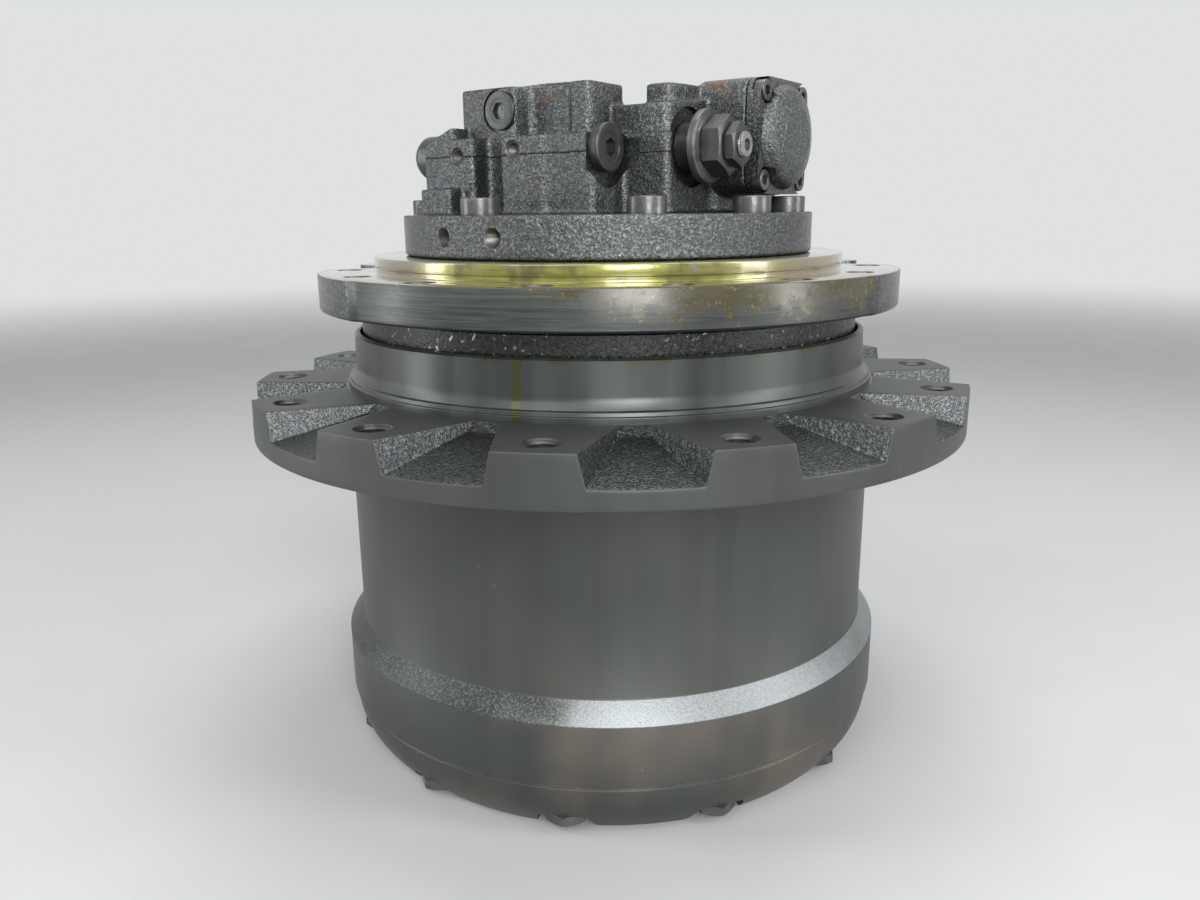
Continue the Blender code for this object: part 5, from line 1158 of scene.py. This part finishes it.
class FINALDRIVE_OT_relief_valve(bpy.types.Operator):
    """Make the relief valve with its lock nut and adjusting screw"""

    bl_idname = "finaldrive.relief_valve"
    bl_label = "Relief Valve"

    def execute(self, context):
        """Stack the washer, the hexagon, the nut and the screw."""
        looks = finishes(context)
        black = looks["black_steel"]
        place = block_axis(*RELIEF_SEAT)
        tip = 0.0386
        path = [(0.010, -0.0040, 0), (0.0150, -0.0040, 0), (0.0150, 0.0085, 0.0006),
                (0.0225, 0.0091, 0.0004), (0.0225, 0.0138, 0.0012), (0.0190, 0.0146, 0.0010),
                (0.0185, 0.0149, 0), (0.010, 0.0149, 0)]
        washer = turned("relief_washer", path, 96, looks["screw_steel"], place, 4)
        dress(washer, "fixed_casing", "black_steel")
        seat = place @ Matrix.Translation((0, 0, 0.0148))
        body = hex_head("relief_valve_surface", 0.032, 0.0138, black, seat, 0.0006)
        dress(body, "fixed_casing", "black_steel", "relief_valve")
        seat = place @ Matrix.Rotation(0.12, 4, "Z") @ Matrix.Translation((0, 0, 0.0289))
        nut = hex_head("relief_lock_nut_surface", 0.024, 0.0070, black, seat, 0.0004)
        dress(nut, "fixed_casing", "plated_steel", "relief_lock_nut")
        profile = [(0.0065, 0.033)]
        level = 0.0342
        while level < 0.0375:
            profile += [(0.0079, level), (0.0073, level + 0.0006)]
            level += 0.0012
        profile += [(0.0077, 0.0380), (0.0070, tip), (0.0050, tip)]
        stem = turned("relief_adjuster_surface", profile, 40, looks["plated_steel"], place)
        sink_socket(stem, 0.007, 0.0338, tip + OUTSIDE, place)
        dress(stem, "fixed_casing", "plated_steel", "relief_adjuster")
        return {"FINISHED"}


class FINALDRIVE_OT_spool_cap(bpy.types.Operator):
    """Make the right spool cap and its four screws"""

    bl_idname = "finaldrive.spool_cap"
    bl_label = "Spool Cap"

    def execute(self, context):
        """Raise the square plate, turn its dome and set the screws."""
        looks = finishes(context)
        rough = looks["rough_casting"]
        place = block_axis(*RIGHT_CAP_SEAT)
        low = 0.1163
        form = rounded_outline(square(0.0355), 0.013, 8)
        cap = raised("right_spool_cap_surface", form, low, low + 0.0092, rough, place)
        path = [(0.002, low + 0.004, 0), (0.0330, low + 0.004, 0), (0.0330, low + 0.0098, 0.003),
                (0.0290, low + 0.0165, 0.008), (0.0180, low + 0.0196, 0.008), (0.002, low + 0.0199, 0)]
        apply_change(cap, turned("cap_dome", path, 120, rough, place, 6), "UNION")
        corners = square(0.027)
        bm = bmesh.new()
        for x, y in corners:
            seat = [(0.0080, low + 0.0030), (0.0080, low + 0.03)]
            add_lathe(bm, seat, 40, place @ Matrix.Translation((x, y, 0)))
        cut(cap, bm, looks["fine_casting"])
        dress(cap, "fixed_casing", "coated_casting", "right_spool_cap")
        for index, (x, y) in enumerate(corners):
            name = f"cap_screw_{index + 1}"
            seat = place @ Matrix.Translation((x, y, low + 0.0031))
            screw = socket_screw(name + "_surface", 0.0065, 0.0070, 0.006, 0.004, looks["screw_steel"], seat)
            dress(screw, "fixed_casing", "black_steel", name)
        return {"FINISHED"}


class FINALDRIVE_OT_inner_parts(bpy.types.Operator):
    """Give the gears, bearings and motor parts their finishes"""

    bl_idname = "finaldrive.inner_parts"
    bl_label = "Inner Parts"

    def execute(self, context):
        """Give each shown CAD node the finish of its material slot."""
        looks = finishes(context)
        chosen = {"coated_casting": "fine_casting", "rubber": "seal_rubber"}
        for row in FRAME["record"]["subparts"]:
            node = FRAME["nodes"][row["node"]]
            slot = row["material_slot"]
            node.data.materials.clear()
            node.data.materials.append(looks[chosen.get(slot, slot)])
        return {"FINISHED"}


class FINALDRIVE_OT_stage(bpy.types.Operator):
    """Set up the pale floor, the soft light and the camera"""

    bl_idname = "finaldrive.stage"
    bl_label = "Stage"

    def execute(self, context):
        """Make the floor, the world, the lamps and the camera."""
        studio = context.scene.studio_settings
        self.floor(studio)
        self.world(studio)
        for lamp in LAMPS:
            self.lamp(*lamp)
        self.camera(studio)
        context.scene.view_settings.view_transform = "Standard"
        return {"FINISHED"}

    def floor(self, studio):
        """Round pale floor that fades into the background."""
        bm = bmesh.new()
        bmesh.ops.create_circle(bm, cap_ends=True, segments=96, radius=6.0)
        f = Finish("pale_floor", 0.6)
        mottle = f.noise(9.0, 4.0)
        base = f.tones(mottle, 0.3, 0.7, studio.floor, 0.74, 0.76)
        f.done(base, f.between(mottle, 0.3, 0.7, 0.55, 0.7), f.bump(f.noise(700.0, 3.0), 0.05, 0.0002))
        far = f.node("ShaderNodeVectorMath", 1, {"operation": "LENGTH"}, i0=f.place)
        fade = f.between(far, 1.6, 5.0)
        clear = f.node("ShaderNodeBsdfTransparent", 0)
        blend = f.node("ShaderNodeMixShader", 0, i0=fade, i1=f.shader.outputs[0], i2=clear)
        output = next(n for n in f.tree.nodes if n.type == "OUTPUT_MATERIAL")
        f.tree.links.new(blend, output.inputs["Surface"])
        floor = new_piece("studio_floor", bm, [f.material])

    def world(self, studio):
        """Pale to the camera and in reflections, and a softer fill for all other rays."""
        world = bpy.data.worlds.new("Studio")
        bpy.context.scene.world = world
        world.use_nodes = True
        tree = world.node_tree
        pale = tree.nodes["Background"]
        fill = tree.nodes.new("ShaderNodeBackground")
        for background, strength in ((pale, 1.0), (fill, studio.fill)):
            background.inputs["Color"].default_value = (*studio.floor, 1.0)
            background.inputs["Strength"].default_value = strength
        path = tree.nodes.new("ShaderNodeLightPath")
        seen = path.outputs["Is Camera Ray"]
        for ray in ("Is Glossy Ray", "Is Transmission Ray"):
            either = tree.nodes.new("ShaderNodeMath")
            either.operation = "MAXIMUM"
            tree.links.new(seen, either.inputs[0])
            tree.links.new(path.outputs[ray], either.inputs[1])
            seen = either.outputs[0]
        choose = tree.nodes.new("ShaderNodeMixShader")
        tree.links.new(seen, choose.inputs[0])
        tree.links.new(fill.outputs[0], choose.inputs[1])
        tree.links.new(pale.outputs[0], choose.inputs[2])
        tree.links.new(choose.outputs[0], tree.nodes["World Output"].inputs["Surface"])

    def lamp(self, name, where, aim, size, power):
        """Soft rectangular lamp that the camera doesn't see."""
        data = bpy.data.lights.new(name, "AREA")
        data.shape = "RECTANGLE"
        data.size, data.size_y = size
        data.energy = power
        lamp = bpy.data.objects.new(name, data)
        lamp.location = where
        lamp.rotation_euler = (Vector(aim) - Vector(where)).to_track_quat("-Z", "Y").to_euler()
        lamp.visible_camera = False
        bpy.context.scene.collection.objects.link(lamp)

    def camera(self, studio):
        """Camera at the photograph's place and angle."""
        pitch, yaw, roll = (math.radians(degrees) for degrees in CAMERA_TURNS)
        data = bpy.data.cameras.new("photo_view")
        data.lens = studio.lens
        data.sensor_width = 36.0
        data.clip_start = 0.05
        camera = bpy.data.objects.new("photo_view", data)
        forward = Vector((math.sin(yaw) * math.cos(pitch), math.cos(yaw) * math.cos(pitch), math.sin(pitch)))
        level = Vector((math.cos(yaw), -math.sin(yaw), 0.0))
        above = level.cross(forward)
        right = math.cos(roll) * level + math.sin(roll) * above
        up = right.cross(forward)
        turn = Matrix((right, up, -forward)).transposed()
        camera.matrix_world = Matrix.Translation(CAMERA_PLACE) @ turn.to_4x4()
        bpy.context.scene.collection.objects.link(camera)
        bpy.context.scene.camera = camera


SIZE_GROUPS = (
    ("cover_sizes", CoverSizes),
    ("hub_sizes", HubSizes),
    ("housing_sizes", HousingSizes),
    ("block_sizes", BlockSizes),
    ("drive_colours", DriveColours),
    ("studio_settings", StudioSettings),
)
STEPS = (
    FINALDRIVE_OT_end_cover,
    FINALDRIVE_OT_oil_plugs,
    FINALDRIVE_OT_hub,
    FINALDRIVE_OT_motor_housing,
    FINALDRIVE_OT_valve_block,
    FINALDRIVE_OT_block_bolts,
    FINALDRIVE_OT_plugs,
    FINALDRIVE_OT_relief_valve,
    FINALDRIVE_OT_spool_cap,
    FINALDRIVE_OT_inner_parts,
    FINALDRIVE_OT_stage,
)


class FINALDRIVE_PT_sidebar(bpy.types.Panel):
    """Sizes, colours and steps of the final drive"""

    bl_label = "Final Drive"
    bl_idname = "FINALDRIVE_PT_sidebar"
    bl_space_type = "VIEW_3D"
    bl_region_type = "UI"
    bl_category = "Final Drive"

    def draw(self, context):
        """List each group's properties, then each operator."""
        for name, group in SIZE_GROUPS:
            box = self.layout.box()
            box.label(text=group.__doc__.rstrip("."))
            for key in group.__annotations__:
                box.prop(getattr(context.scene, name), key)
        for step in STEPS:
            self.layout.operator(step.bl_idname)


def register():
    """Register the classes and hang the property groups on the scene."""
    for name, group in SIZE_GROUPS:
        bpy.utils.register_class(group)
        setattr(bpy.types.Scene, name, bpy.props.PointerProperty(type=group))
    for step in STEPS:
        bpy.utils.register_class(step)
    bpy.utils.register_class(FINALDRIVE_PT_sidebar)


def unregister():
    """Take everything off again."""
    bpy.utils.unregister_class(FINALDRIVE_PT_sidebar)
    for step in reversed(STEPS):
        bpy.utils.unregister_class(step)
    for name, group in reversed(SIZE_GROUPS):
        delattr(bpy.types.Scene, name)
        bpy.utils.unregister_class(group)


def main():
    """Make every piece."""
    register()
    for step in STEPS:
        group, name = step.bl_idname.split(".")
        getattr(getattr(bpy.ops, group), name)()
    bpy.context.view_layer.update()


if __name__ == "__main__":
    main()
